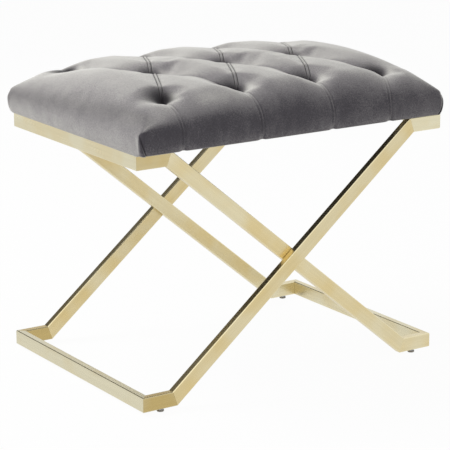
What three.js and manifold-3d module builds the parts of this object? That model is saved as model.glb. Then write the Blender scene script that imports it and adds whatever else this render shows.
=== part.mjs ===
// X frame stool: two bent-tube loops that cross, four levelling glides and a diamond-tufted velvet seat.
// Millimetres, +Z up. The origin is on the floor under the middle of the seat, X runs along the seat.
import * as THREE from "three";
import { mergeVertices } from "three/addons/utils/BufferGeometryUtils.js";
import Module from "manifold-3d";

const wasm = await Module();
wasm.setup();

// Frame: rectangular steel tube, 25 mm high and 13 mm wide
const frameLength = 598;
const frameRise = 420; // underside of the foot tubes to the top of the seat rails
const frameDepth = 430; // over the outer loop
const bendReach = 61; // end of the frame to the middle of a bend
const tubeHeight = 25;
const tubeWidth = 13;
const tubeWall = 1.5;
const tubeCorner = 1.8; // outer corner radius of the tube

// Clearances
const weldGap = 0.3; // between two tubes that are welded together
const fitGap = 0.3; // between two pieces that touch or slide on each other
const overrun = 5; // how far a cutter runs past what it cuts

// Levelling glides
const standHeight = 5; // floor to the underside of the foot tubes
const glideInset = 36; // end of the frame to the glide's axis
const padRadius = 6;
const padChamfer = 0.7;
const stemRadius = 3;
const stemLength = 18;
const stemChamfer = 0.6;
const insertBarrelRadius = 4.2;
const insertBarrelLength = 12;
const insertFlangeRadius = 5.4;
const insertFlangeThickness = 0.8;

// Corner plates that carry the seat, with a bolt, washer and tee nut each
const plateSide = 46;
const plateCut = 16; // bevel across the plate's free corner
const plateThickness = 3;
const plateDrop = 0.9; // below the top of the rails, so that the bolt pulls the seat down on them
const plateHoleSetback = 23; // from the plate's two welded edges to its hole
const boltRadius = 3;
const boltLength = 20;
const boltHeadAcross = 10;
const boltHeadHeight = 4;
const washerRadius = 8;
const washerThickness = 1.6;
const teeFlangeRadius = 9.5;
const teeFlangeThickness = 1.5;
const teeBarrelRadius = 4;
const teeBarrelLength = 10;

// Seat: plywood board, foam, velvet cover and the cloth under it
const seatSetback = 2; // end of the frame to the seat's end
const seatOverhang = 1; // outer loop to the seat's side
const seatCorner = 24; // radius of the seat's corners, seen from above
const boardThickness = 15;
const coverThickness = 2;
const hemWidth = 24; // cover that is turned in under the board
const clothThickness = 0.6;
const clothGap = 4; // cloth under the seat to the seat rails
const clothCorner = 15;
const sideHeight = 42; // where the side starts to roll over into the top
const sideBulge = 7; // how far the side swells past the hem
const crestHeight = 90; // highest puffs above the hem
const crown = 5; // the top falls this much from its middle to its long ends
const rollWidth = 62; // width of the rolled edge

// Tufting: rows of 4, 3 and 4 ties
const tuftFromEnd = 79.5; // end of the seat to the nearest tie
const tuftFromSide = 66; // side of the seat to the front and rear rows
const tuftDepth = 30; // puff to the bottom of a tuft
const pleatDepth = 15; // puff to the bottom of a pleat, between two tufts
const pleatSpread = 48; // from a pleat to where the puff is level
const tuftSpread = 26;
const pleatPull = 3.5; // how far a pleat draws the side in
const tieRadius = 1.2;
const tieHeadRadius = 4; // sewn to the back of the cover
const tieHeadThickness = 1.5;
const tieDiscRadius = 6;
const tieDiscThickness = 1;

// Counts
const outerRowTies = 4;
const middleRowTies = 3;
const cornerSegments = 2;
const roundSegments = 16;
const holeSegments = 16;
const tieSegments = 8;
const cellSteps = 4; // grid steps between a tuft and the next one's line
const seatCornerSegments = 1; // a corner's arc gets two sides for each, as the cover's grid has

// Finishes
const brass = new THREE.MeshStandardMaterial({ color: 0xdccfa2, roughness: 0.28, metalness: 1 });
const zinc = new THREE.MeshStandardMaterial({ color: 0xb9bcc0, roughness: 0.4, metalness: 1 });
const glidePlastic = new THREE.MeshStandardMaterial({ color: 0x77736a, roughness: 0.55, metalness: 0 });
const plywood = new THREE.MeshStandardMaterial({ color: 0xc9a878, roughness: 0.8, metalness: 0 });
const foam = new THREE.MeshStandardMaterial({ color: 0xe9e2c8, roughness: 0.95, metalness: 0 });
const velvet = new THREE.MeshStandardMaterial({ color: 0xa2a4a8, roughness: 0.8, metalness: 0 });
const blackCloth = new THREE.MeshStandardMaterial({ color: 0x1d1d1f, roughness: 0.95, metalness: 0 });
const twine = new THREE.MeshStandardMaterial({ color: 0xd8d4c8, roughness: 0.85, metalness: 0 });

// Seat and tufting that follow from the frame
const seatLength = frameLength - 2 * seatSetback;
const seatDepth = frameDepth + 2 * seatOverhang;
const tuftPitch = (seatLength - 2 * tuftFromEnd) / (outerRowTies - 1); // along a row
const tuftRow = seatDepth / 2 - tuftFromSide; // from the middle row to the front and rear rows

// Heights that follow from the sizes above
const frameTop = standHeight + frameRise;
const hemBottom = frameTop + fitGap;
const boardBottom = hemBottom + coverThickness + fitGap;
const boardTop = boardBottom + boardThickness;
const insertBottom = standHeight - fitGap - insertFlangeThickness;
const padHeight = insertBottom - fitGap;
const plateTop = frameTop - plateDrop;
const plateBottom = plateTop - plateThickness;
const washerTop = plateBottom - fitGap;
const boltHeadTop = washerTop - washerThickness - fitGap;
const boltHoleRadius = boltRadius + fitGap;
const innerDepth = frameDepth - 2 * (tubeWidth + weldGap);

function solidOf(geometry) {
  const bare = geometry.index ? geometry.toNonIndexed() : geometry.clone();
  bare.deleteAttribute("normal");
  bare.deleteAttribute("uv");
  const merged = mergeVertices(bare);
  return new wasm.Manifold(
    new wasm.Mesh({
      numProp: 3,
      vertProperties: merged.attributes.position.array,
      triVerts: new Uint32Array(merged.index.array),
    }),
  );
}

function geometryOf(solid) {
  const mesh = solid.getMesh();
  const geometry = new THREE.BufferGeometry();
  geometry.setAttribute("position", new THREE.BufferAttribute(mesh.vertProperties, mesh.numProp));
  geometry.setIndex(new THREE.BufferAttribute(mesh.triVerts, 1));
  const flat = geometry.toNonIndexed();
  flat.computeVertexNormals();
  return flat;
}

function cut(geometry, cutters) {
  let solid = solidOf(geometry);
  for (const cutter of cutters) solid = solid.subtract(solidOf(cutter));
  return geometryOf(solid);
}

// A round cutter that stands on Z, from one height to another
function drill(x, y, radius, bottom, top, segments = holeSegments) {
  const geometry = new THREE.CylinderGeometry(radius, radius, top - bottom, segments);
  geometry.rotateX(Math.PI / 2);
  geometry.translate(x, y, (bottom + top) / 2);
  return geometry;
}

// A turned piece on Z from its outline, given as radius and height, upwards on the outside
function turned(outline, segments = roundSegments) {
  const geometry = new THREE.LatheGeometry(outline.map(([r, z]) => new THREE.Vector2(r, z)), segments);
  geometry.rotateX(Math.PI / 2);
  return geometry;
}

function named(name, geometry, material, x = 0, y = 0, z = 0) {
  const mesh = new THREE.Mesh(geometry, material);
  mesh.name = name;
  mesh.position.set(x, y, z);
  return mesh;
}

function roundedRectangle(path, width, height, radius) {
  const right = width / 2 - radius;
  const top = height / 2 - radius;
  path.absarc(right, top, radius, 0, Math.PI / 2);
  path.absarc(-right, top, radius, Math.PI / 2, Math.PI);
  path.absarc(-right, -top, radius, Math.PI, 1.5 * Math.PI);
  path.absarc(right, -top, radius, 1.5 * Math.PI, 2 * Math.PI);
  path.closePath();
  return path;
}

function tubeSection() {
  const section = roundedRectangle(new THREE.Shape(), tubeWidth, tubeHeight, tubeCorner);
  const boreCorner = Math.max(tubeCorner - tubeWall, tubeCorner / 4);
  const boreWidth = tubeWidth - 2 * tubeWall;
  const boreHeight = tubeHeight - 2 * tubeWall;
  section.holes.push(roundedRectangle(new THREE.Path(), boreWidth, boreHeight, boreCorner));
  return section;
}

// A tube from one point to another, its width across and its height up. Each end is cut square
// or on a mitre: the end moves along the tube by slope times the place in the width or the height.
function tube(name, from, to, across, startSlope, endSlope) {
  const along = to.clone().sub(from);
  const length = along.length();
  along.normalize();
  const up = along.clone().cross(across);
  const setBack = (slope) => (weldGap / 2) * Math.hypot(1, slope.width, slope.height);
  const geometry = new THREE.ExtrudeGeometry(tubeSection(), {
    depth: length,
    bevelEnabled: false,
    curveSegments: cornerSegments,
  });
  const place = geometry.attributes.position;
  for (let i = 0; i < place.count; i++) {
    const atEnd = place.getZ(i) > length / 2;
    const slope = atEnd ? endSlope : startSlope;
    const shift = slope.width * place.getX(i) + slope.height * place.getY(i);
    const inward = atEnd ? -setBack(slope) : setBack(slope);
    place.setZ(i, place.getZ(i) + shift + inward);
  }
  geometry.computeVertexNormals();
  const mesh = named(name, geometry, brass, from.x, from.y, from.z);
  mesh.quaternion.setFromRotationMatrix(new THREE.Matrix4().makeBasis(across, up, along));
  return mesh;
}

const legRun = frameLength - 2 * bendReach;
const legAngle = Math.atan2(frameRise - tubeHeight, legRun);
const bendSlope = Math.tan(legAngle / 2);
const endX = frameLength / 2;
const bendX = endX - bendReach;
const footZ = standHeight + tubeHeight / 2;
const topZ = frameTop - tubeHeight / 2;
const acrossDepth = new THREE.Vector3(0, 1, 0);
const acrossLength = new THREE.Vector3(-1, 0, 0);
const railX = endX - tubeWidth / 2;

// One side of a loop: foot return, leg and top return. The corner mitres face the rails.
function loopSide(prefix, sideName, y, inward, drillings) {
  const at = (x, z) => new THREE.Vector3(x, y, z);
  const atFootRail = { width: inward, height: 0 };
  const atTopRail = { width: -inward, height: 0 };
  const footBend = { width: 0, height: -bendSlope };
  const topBend = { width: 0, height: bendSlope };
  const start = `${prefix}_${sideName}_`;
  const footReturn = tube(start + "foot_return", at(-railX, footZ), at(-bendX, footZ), acrossDepth, atFootRail, footBend);
  const leg = tube(start + "leg", at(-bendX, footZ), at(bendX, topZ), acrossDepth, topBend, topBend);
  const topReturn = tube(start + "top_return", at(bendX, topZ), at(railX, topZ), acrossDepth, footBend, atTopRail);
  footReturn.updateMatrixWorld(true);
  const toLocal = footReturn.matrixWorld.clone().invert();
  footReturn.geometry = cut(footReturn.geometry, drillings.map((hole) => hole.applyMatrix4(toLocal)));
  return [footReturn, leg, topReturn];
}

// A loop as it lies with its foot rail at the -X end and its seat rail at the +X end
function loop(prefix, depth, sideNames) {
  const group = new THREE.Group();
  const sideY = depth / 2 - tubeWidth / 2;
  const glideX = -(endX - glideInset);
  const insertHole = (y) => {
    const bottom = standHeight - overrun;
    const top = standHeight + tubeHeight / 2;
    return drill(glideX, y, insertBarrelRadius + fitGap, bottom, top);
  };
  group.add(...loopSide(prefix, sideNames[0], -sideY, 1, [insertHole(-sideY)]));
  group.add(...loopSide(prefix, sideNames[1], sideY, -1, [insertHole(sideY)]));
  const rail = (name, x, z, slope) => {
    const from = new THREE.Vector3(x, -sideY, z);
    const to = new THREE.Vector3(x, sideY, z);
    return tube(name, from, to, acrossLength, { width: -slope, height: 0 }, { width: slope, height: 0 });
  };
  group.add(rail(prefix + "_foot_rail", -railX, footZ, 1));
  group.add(rail(prefix + "_top_rail", railX, topZ, -1));
  return group;
}

function glideGeometry() {
  const stemTop = padHeight + stemLength;
  return turned([
    [0, 0],
    [padRadius - padChamfer, 0],
    [padRadius, padChamfer],
    [padRadius, padHeight - padChamfer],
    [padRadius - padChamfer, padHeight],
    [stemRadius, padHeight],
    [stemRadius, stemTop - stemChamfer],
    [stemRadius - stemChamfer, stemTop],
    [0, stemTop],
  ]);
}

function glideInsertGeometry() {
  const bore = stemRadius + fitGap;
  const flangeTop = insertBottom + insertFlangeThickness;
  const top = insertBottom + insertBarrelLength;
  return turned([
    [bore, insertBottom],
    [insertFlangeRadius, insertBottom],
    [insertFlangeRadius, flangeTop],
    [insertBarrelRadius, flangeTop],
    [insertBarrelRadius, top],
    [bore, top],
    [bore, insertBottom],
  ]);
}

// The corner plate lies in the corner at +X and +Y of its own frame
function plateGeometry() {
  const shape = new THREE.Shape([
    new THREE.Vector2(0, 0),
    new THREE.Vector2(-plateSide, 0),
    new THREE.Vector2(-plateSide, -plateSide + plateCut),
    new THREE.Vector2(-plateSide + plateCut, -plateSide),
    new THREE.Vector2(0, -plateSide),
  ]);
  const hole = new THREE.Path();
  hole.absarc(-plateHoleSetback, -plateHoleSetback, boltHoleRadius, 0, 2 * Math.PI);
  shape.holes.push(hole);
  return new THREE.ExtrudeGeometry(shape, { depth: plateThickness, bevelEnabled: false, curveSegments: holeSegments });
}

function boltGeometry() {
  const acrossCorners = boltHeadAcross / Math.cos(Math.PI / 6);
  const head = new THREE.CylinderGeometry(acrossCorners / 2, acrossCorners / 2, boltHeadHeight, 6);
  head.rotateX(Math.PI / 2);
  head.translate(0, 0, boltHeadTop - boltHeadHeight / 2);
  const shank = drill(0, 0, boltRadius, boltHeadTop - boltHeadHeight / 2, boltHeadTop + boltLength);
  return geometryOf(solidOf(head).add(solidOf(shank)));
}

function washerGeometry() {
  return turned([
    [boltHoleRadius, washerTop - washerThickness],
    [washerRadius, washerTop - washerThickness],
    [washerRadius, washerTop],
    [boltHoleRadius, washerTop],
    [boltHoleRadius, washerTop - washerThickness],
  ]);
}

function teeNutGeometry() {
  const flangeBottom = boardTop - teeFlangeThickness;
  const bottom = flangeBottom - teeBarrelLength;
  return turned([
    [boltHoleRadius, bottom],
    [teeBarrelRadius, bottom],
    [teeBarrelRadius, flangeBottom],
    [teeFlangeRadius, flangeBottom],
    [teeFlangeRadius, boardTop],
    [boltHoleRadius, boardTop],
    [boltHoleRadius, bottom],
  ]);
}

// The ties: front and rear rows of four, and three between them
const tufts = [];
const tuftRows = [
  ["front", -tuftRow, outerRowTies],
  ["middle", 0, middleRowTies],
  ["rear", tuftRow, outerRowTies],
];
for (const [row, y, count] of tuftRows) {
  for (let i = 0; i < count; i++) {
    tufts.push({ name: `tuft_tie_${row}_${i + 1}`, x: (i - (count - 1) / 2) * tuftPitch, y });
  }
}

// The seat's four corner fixings, in the corners of the two loops' tops
const fixings = [];
for (const [side, sign, depth] of [["left", -1, innerDepth], ["right", 1, frameDepth]]) {
  for (const [face, facing] of [["front", -1], ["rear", 1]]) {
    const cornerX = sign * (endX - tubeWidth - weldGap);
    const cornerY = facing * (depth / 2 - tubeWidth - weldGap);
    fixings.push({
      name: `${face}_${side}`,
      cornerX,
      cornerY,
      turn: Math.atan2(facing, sign) - Math.PI / 4,
      x: cornerX - sign * plateHoleSetback,
      y: cornerY - facing * plateHoleSetback,
    });
  }
}

// Pleats run between neighbouring ties and from the outer rows straight to the long edges
const pleats = [];
for (const a of tufts) {
  for (const b of tufts) {
    const stepX = Math.abs(a.x - b.x);
    if (a.y < b.y && b.y - a.y <= tuftRow && stepX <= tuftPitch / 2) pleats.push([a, b]);
  }
  if (a.y !== 0) pleats.push([a, { x: a.x, y: Math.sign(a.y) * seatDepth }]);
}

function distanceTo(pleat, x, y) {
  const [a, b] = pleat;
  const dx = b.x - a.x;
  const dy = b.y - a.y;
  const along = ((x - a.x) * dx + (y - a.y) * dy) / (dx * dx + dy * dy);
  const t = Math.min(Math.max(along, 0), 1);
  return Math.hypot(x - a.x - t * dx, y - a.y - t * dy);
}

// Height of the seat's top above the hem at a place on it
function topHeight(x, y) {
  const fromEnd = Math.max(seatLength / 2 - Math.abs(x), 0) / rollWidth;
  const fromSide = Math.max(seatDepth / 2 - Math.abs(y), 0) / rollWidth;
  const roll = (share) => Math.sqrt(1 - (1 - Math.min(share, 1)) ** 2);
  const edge = roll(fromEnd) * roll(fromSide);
  const dome = crestHeight - crown * ((2 * x) / seatLength) ** 2 - crown * ((2 * y) / seatDepth) ** 2;
  const nearest = Math.min(...pleats.map((pleat) => distanceTo(pleat, x, y)));
  const pleat = pleatDepth * Math.max(1 - nearest / pleatSpread, 0) ** 1.5;
  const tied = Math.min(...tufts.map((tuft) => Math.hypot(x - tuft.x, y - tuft.y)));
  const tuft = (tuftDepth - pleatDepth) * Math.exp(-((tied / tuftSpread) ** 2));
  return sideHeight + (dome - sideHeight - pleat - tuft) * edge;
}

// Grid lines of the top in one direction: even steps between the lines of ties, then a line
// between where the edge is wide, the start of the corner's round and the edge
const betweenShare = 0.45;
function gridLines(step, last, edge, wide) {
  const lines = [];
  for (let i = 0; i * step <= last + step / 2; i++) lines.push(i * step);
  const between = last + betweenShare * (edge - seatCorner - last);
  const half = [...lines, ...(wide ? [between] : []), edge - seatCorner, edge];
  return [...half.slice(1).reverse().map((v) => -v), ...half];
}

// Rounds the seat's corners: a place near a square corner moves onto the round one
function rounded(x, y, halfLength, halfDepth, radius) {
  const dx = (Math.abs(x) - (halfLength - radius)) / radius;
  const dy = (Math.abs(y) - (halfDepth - radius)) / radius;
  if (!(dx > 0 && dy > 0)) return [x, y];
  const roundX = dx * Math.sqrt(1 - (dy * dy) / 2);
  const roundY = dy * Math.sqrt(1 - (dx * dx) / 2);
  const outX = Math.sign(x) * (halfLength - radius + radius * roundX);
  const outY = Math.sign(y) * (halfDepth - radius + radius * roundY);
  return [outX, outY];
}

const lastTie = ((outerRowTies - 1) / 2) * tuftPitch;
const columns = gridLines(tuftPitch / 2 / cellSteps, lastTie, seatLength / 2, true);
const rows = gridLines(tuftRow / cellSteps, tuftRow, seatDepth / 2, false);
const acrossTop = columns.length;
const topCount = acrossTop * rows.length;

// Grid places round the top's edge, in order
const rim = [];
for (let i = 0; i < columns.length - 1; i++) rim.push([i, 0]);
for (let j = 0; j < rows.length - 1; j++) rim.push([columns.length - 1, j]);
for (let i = columns.length - 1; i > 0; i--) rim.push([i, rows.length - 1]);
for (let j = rows.length - 1; j > 0; j--) rim.push([0, j]);

// Side rings below the top's edge: height as a share of the side, and swell as a share of the bulge
const rimSwellShare = 0.6;
const ringShares = [
  { height: 0.48, swell: 1 },
  { height: 0, swell: 0 },
];

function sidePoint(x, y, heightShare, swellShare) {
  const outX = Math.abs(x) >= seatLength / 2 ? Math.sign(x) : 0;
  const outY = Math.abs(y) >= seatDepth / 2 ? Math.sign(y) : 0;
  const pleat = outY !== 0 && tufts.some((tuft) => tuft.y * y > 0 && Math.abs(tuft.x - x) < tieRadius);
  const out = swellShare * sideBulge - (pleat ? pleatPull * heightShare : 0);
  const [px, py] = rounded(x, y, seatLength / 2, seatDepth / 2, seatCorner);
  const diagonal = outX !== 0 && outY !== 0 ? Math.SQRT1_2 : 1;
  return [px + outX * out * diagonal, py + outY * out * diagonal, hemBottom + heightShare * sideHeight];
}

// The cushion's skin: points of the top, then of each ring, and the triangles between them
function cushionSkin() {
  const points = [];
  for (const y of rows) {
    for (const x of columns) {
      const onRim = Math.abs(x) >= seatLength / 2 || Math.abs(y) >= seatDepth / 2;
      if (onRim) points.push(sidePoint(x, y, 1, rimSwellShare));
      else points.push([...rounded(x, y, seatLength / 2, seatDepth / 2, seatCorner), hemBottom + topHeight(x, y)]);
    }
  }
  for (const ring of ringShares) {
    for (const [i, j] of rim) points.push(sidePoint(columns[i], rows[j], ring.height, ring.swell));
  }
  const triangles = [];
  const half = tuftPitch / 2;
  for (let j = 0; j < rows.length - 1; j++) {
    for (let i = 0; i < columns.length - 1; i++) {
      const midX = (columns[i] + columns[i + 1]) / 2;
      const midY = (rows[j] + rows[j + 1]) / 2;
      const evenCell = Math.abs(Math.floor(midX / half)) % 2 === 0;
      const rising = evenCell === midY > 0;
      const a = j * acrossTop + i;
      const b = a + 1;
      const c = b + acrossTop;
      const d = a + acrossTop;
      if (rising) triangles.push([a, b, c], [a, c, d]);
      else triangles.push([a, b, d], [b, c, d]);
    }
  }
  const rimIndex = rim.map(([i, j]) => j * acrossTop + i);
  ringShares.forEach((ring, k) => {
    const upper = (n) => (k === 0 ? rimIndex[n] : topCount + (k - 1) * rim.length + n);
    const lower = (n) => topCount + k * rim.length + n;
    for (let n = 0; n < rim.length; n++) {
      const next = (n + 1) % rim.length;
      triangles.push([upper(n), lower(n), lower(next)], [upper(n), lower(next), upper(next)]);
    }
  });
  return { points, triangles };
}

// Moves every point of the skin inwards by a distance
function offsetSkin(skin, distance) {
  const geometry = geometryFrom(skin.points, skin.triangles);
  geometry.computeVertexNormals();
  const normal = geometry.attributes.normal;
  return skin.points.map(([x, y, z], i) => [
    x - distance * normal.getX(i),
    y - distance * normal.getY(i),
    z - distance * normal.getZ(i),
  ]);
}

function geometryFrom(points, triangles) {
  const geometry = new THREE.BufferGeometry();
  geometry.setAttribute("position", new THREE.Float32BufferAttribute(points.flat(), 3));
  geometry.setIndex(triangles.flat());
  return geometry;
}

const skin = cushionSkin();
const hemRing = topCount + (ringShares.length - 1) * rim.length;

// The hem's edge lies further in by scale, so that it keeps its corners apart
function inset([x, y], distance, z) {
  return [x * (1 - distance / (seatLength / 2)), y * (1 - distance / (seatDepth / 2)), z];
}

// The seat's outline drawn in evenly by a distance
function outlinePoint([i, j], distance, z) {
  const halfLength = seatLength / 2 - distance;
  const halfDepth = seatDepth / 2 - distance;
  const x = Math.sign(columns[i]) * Math.min(Math.abs(columns[i]), halfLength);
  const y = Math.sign(rows[j]) * Math.min(Math.abs(rows[j]), halfDepth);
  return [...rounded(x, y, halfLength, halfDepth, seatCorner - distance), z];
}

// Velvet cover: the skin, a hem turned in under the board and thinned out at its edge, and the
// same skin one thickness further in
function coverGeometry() {
  const inner = offsetSkin(skin, coverThickness);
  const count = skin.points.length;
  rim.forEach((place, n) => {
    inner[hemRing + n] = outlinePoint(place, coverThickness, hemBottom + coverThickness);
  });
  const hemEdge = rim.map((_, n) => inset(skin.points[hemRing + n], hemWidth, hemBottom));
  const points = [...skin.points, ...inner, ...hemEdge];
  const triangles = [...skin.triangles];
  for (const [a, b, c] of skin.triangles) triangles.push([count + a, count + c, count + b]);
  const loops = [
    (n) => hemRing + n,
    (n) => 2 * count + n,
    (n) => count + hemRing + n,
  ];
  for (let k = 0; k < loops.length - 1; k++) {
    for (let n = 0; n < rim.length; n++) {
      const next = (n + 1) % rim.length;
      const [upper, lower] = [loops[k], loops[k + 1]];
      triangles.push([upper(n), lower(n), lower(next)], [upper(n), lower(next), upper(next)]);
    }
  }
  return geometryFrom(points, triangles);
}

// Foam: fills the cover down to the board
function foamGeometry() {
  const bottom = boardTop + fitGap;
  const points = offsetSkin(skin, coverThickness + fitGap).map(([x, y, z]) => [x, y, Math.max(z, bottom)]);
  const base = rim.map((_, n) => points[hemRing + n]);
  const flat = base.map(([x, y]) => new THREE.Vector2(x, y));
  const triangles = [...skin.triangles];
  for (const [a, b, c] of THREE.ShapeUtils.triangulateShape(flat, [])) {
    triangles.push([hemRing + a, hemRing + c, hemRing + b]);
  }
  const pockets = tufts.map(({ x, y }) => {
    const floor = tieTop(x, y) - tieHeadThickness - fitGap;
    return drill(x, y, tieHeadRadius + fitGap, floor, floor + tuftDepth, tieSegments);
  });
  return cut(geometryFrom(points, triangles), [...tieHoles(boardBottom), ...pockets]);
}

function tieHoles(bottom) {
  return tufts.map(({ x, y }) => drill(x, y, tieRadius + fitGap, bottom, tieTop(x, y), tieSegments));
}

// Top of a tie's head, against the back of the cover
function tieTop(x, y) {
  return hemBottom + topHeight(x, y) - coverThickness - fitGap;
}

function slabShape(length, depth, radius) {
  return roundedRectangle(new THREE.Shape(), length, depth, radius);
}

function boardGeometry() {
  const gap = coverThickness + fitGap;
  const shape = slabShape(seatLength - 2 * gap, seatDepth - 2 * gap, seatCorner - gap);
  const slab = new THREE.ExtrudeGeometry(shape, {
    depth: boardThickness,
    bevelEnabled: false,
    curveSegments: seatCornerSegments,
  });
  slab.translate(0, 0, boardBottom);
  const flangeSeat = boardTop - teeFlangeThickness - fitGap;
  const bolts = fixings.flatMap(({ x, y }) => [
    drill(x, y, teeBarrelRadius + fitGap, boardBottom - overrun, boardTop + overrun),
    drill(x, y, teeFlangeRadius + fitGap, flangeSeat, boardTop + overrun),
  ]);
  return cut(slab, [...bolts, ...tieHoles(boardBottom - overrun)]);
}

function clothGeometry() {
  const length = frameLength - 2 * (tubeWidth + clothGap);
  const depth = innerDepth - 2 * (tubeWidth + weldGap) - 2 * fitGap;
  const cloth = new THREE.ExtrudeGeometry(slabShape(length, depth, clothCorner), {
    depth: clothThickness,
    bevelEnabled: false,
    curveSegments: cornerSegments,
  });
  cloth.translate(0, 0, frameTop - clothThickness);
  const bottom = frameTop - clothThickness - overrun;
  return cut(cloth, fixings.map(({ x, y }) => drill(x, y, boltHoleRadius, bottom, frameTop + overrun)));
}

// A tie: head on the back of the cover, twine through foam and board, and a disc under the board
function tieGeometry(top) {
  const discTop = boardBottom - fitGap;
  const headBottom = top - tieHeadThickness;
  return turned(
    [
      [0, discTop - tieDiscThickness],
      [tieDiscRadius, discTop - tieDiscThickness],
      [tieDiscRadius, discTop],
      [tieRadius, discTop],
      [tieRadius, headBottom],
      [tieHeadRadius, headBottom],
      [tieHeadRadius, top],
      [0, top],
    ],
    tieSegments,
  );
}

const stool = new THREE.Group();
stool.add(loop("outer", frameDepth, ["front", "rear"]));
const innerLoop = loop("inner", innerDepth, ["rear", "front"]);
innerLoop.rotation.z = Math.PI;
stool.add(innerLoop);

for (const [side, sign, depth] of [["left", -1, frameDepth], ["right", 1, innerDepth]]) {
  for (const [face, facing] of [["front", -1], ["rear", 1]]) {
    const x = sign * (endX - glideInset);
    const y = facing * (depth / 2 - tubeWidth / 2);
    stool.add(named(`glide_${face}_${side}`, glideGeometry(), glidePlastic, x, y));
    stool.add(named(`glide_insert_${face}_${side}`, glideInsertGeometry(), zinc, x, y));
  }
}

for (const { name, cornerX, cornerY, turn, x, y } of fixings) {
  const plate = named(`seat_plate_${name}`, plateGeometry(), brass, cornerX, cornerY, plateBottom);
  plate.rotation.z = turn;
  stool.add(plate);
  stool.add(named(`seat_bolt_${name}`, boltGeometry(), zinc, x, y));
  stool.add(named(`seat_washer_${name}`, washerGeometry(), zinc, x, y));
  stool.add(named(`seat_tee_nut_${name}`, teeNutGeometry(), zinc, x, y));
}

stool.add(named("seat_board", boardGeometry(), plywood));
stool.add(named("foam_pad", foamGeometry(), foam));
stool.add(named("velvet_cover", coverGeometry(), velvet));
stool.add(named("dust_cover", clothGeometry(), blackCloth));
for (const { name, x, y } of tufts) {
  stool.add(named(name, tieGeometry(tieTop(x, y)), twine, x, y));
}

export default stool;
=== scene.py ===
# %% [markdown]
# # An X frame stool
#
# The stool is a tufted velvet seat on two loops of rectangular tube. One loop nests inside the
# other, they cross half way up and are welded there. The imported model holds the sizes; this
# script gives every piece its finish, and makes the soft and the brushed pieces anew in its place.

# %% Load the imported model
import math

import bmesh
import bpy
import numpy as np
from mathutils import Matrix, Vector


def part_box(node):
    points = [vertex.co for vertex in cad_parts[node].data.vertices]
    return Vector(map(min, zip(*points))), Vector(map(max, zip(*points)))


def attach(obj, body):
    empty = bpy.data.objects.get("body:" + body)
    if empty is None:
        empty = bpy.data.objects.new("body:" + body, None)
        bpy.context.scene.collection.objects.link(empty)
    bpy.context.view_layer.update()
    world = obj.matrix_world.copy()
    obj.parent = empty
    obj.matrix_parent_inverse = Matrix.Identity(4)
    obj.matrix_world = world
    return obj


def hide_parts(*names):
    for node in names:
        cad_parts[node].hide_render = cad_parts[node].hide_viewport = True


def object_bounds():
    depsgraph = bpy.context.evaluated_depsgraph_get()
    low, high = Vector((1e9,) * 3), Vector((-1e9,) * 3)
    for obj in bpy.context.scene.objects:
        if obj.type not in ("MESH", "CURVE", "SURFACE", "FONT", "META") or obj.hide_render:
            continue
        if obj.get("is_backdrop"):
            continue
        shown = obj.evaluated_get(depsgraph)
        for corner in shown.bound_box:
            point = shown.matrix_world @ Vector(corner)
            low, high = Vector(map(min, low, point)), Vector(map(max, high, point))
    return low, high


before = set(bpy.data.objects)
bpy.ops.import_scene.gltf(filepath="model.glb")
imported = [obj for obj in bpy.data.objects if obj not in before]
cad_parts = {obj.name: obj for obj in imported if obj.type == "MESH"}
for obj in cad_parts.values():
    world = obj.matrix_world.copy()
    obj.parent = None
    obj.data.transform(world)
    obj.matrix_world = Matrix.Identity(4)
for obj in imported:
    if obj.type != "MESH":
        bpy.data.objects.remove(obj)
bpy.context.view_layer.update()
MM = 0.001


def add_object(name, data):
    made = bpy.data.objects.new(name, data)
    bpy.context.scene.collection.objects.link(made)
    return made


def set_all(thing, **settings):
    for key, value in settings.items():
        setattr(thing, key, value)
    return thing


# %% [markdown]
# ## Camera
#
# A product photograph is taken with a long lens from a few metres away. The eye and the lens
# here come from fitting the corners of the two loops to the picture.

# %% Camera
LENS = 162.65
EYE = Vector((-1.8894, -2.8400, 1.1294))
AZIMUTH, ELEVATION = math.radians(-33.65), math.radians(14.84)


def look_along(piece, direction):
    piece.rotation_mode = "QUATERNION"
    piece.rotation_quaternion = direction.to_track_quat("-Z", "Y")


camera = add_object("camera", bpy.data.cameras.new("camera"))
camera.data.lens = LENS
camera.location = EYE
flat = math.cos(ELEVATION)
back = Vector((math.sin(AZIMUTH) * flat, -math.cos(AZIMUTH) * flat, math.sin(ELEVATION)))
look_along(camera, -back)
bpy.context.scene.camera = camera
print("camera at", [round(v, 3) for v in EYE])

# %% [markdown]
# ## Node helpers
#
# Both shaders and Geometry Nodes are trees of nodes. This class adds a node and fills its
# inputs, each with a value or with a link from another node, so that a tree reads from top to
# bottom like a list of steps. A kind's family, such as GeometryNode, is left off its name.


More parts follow.
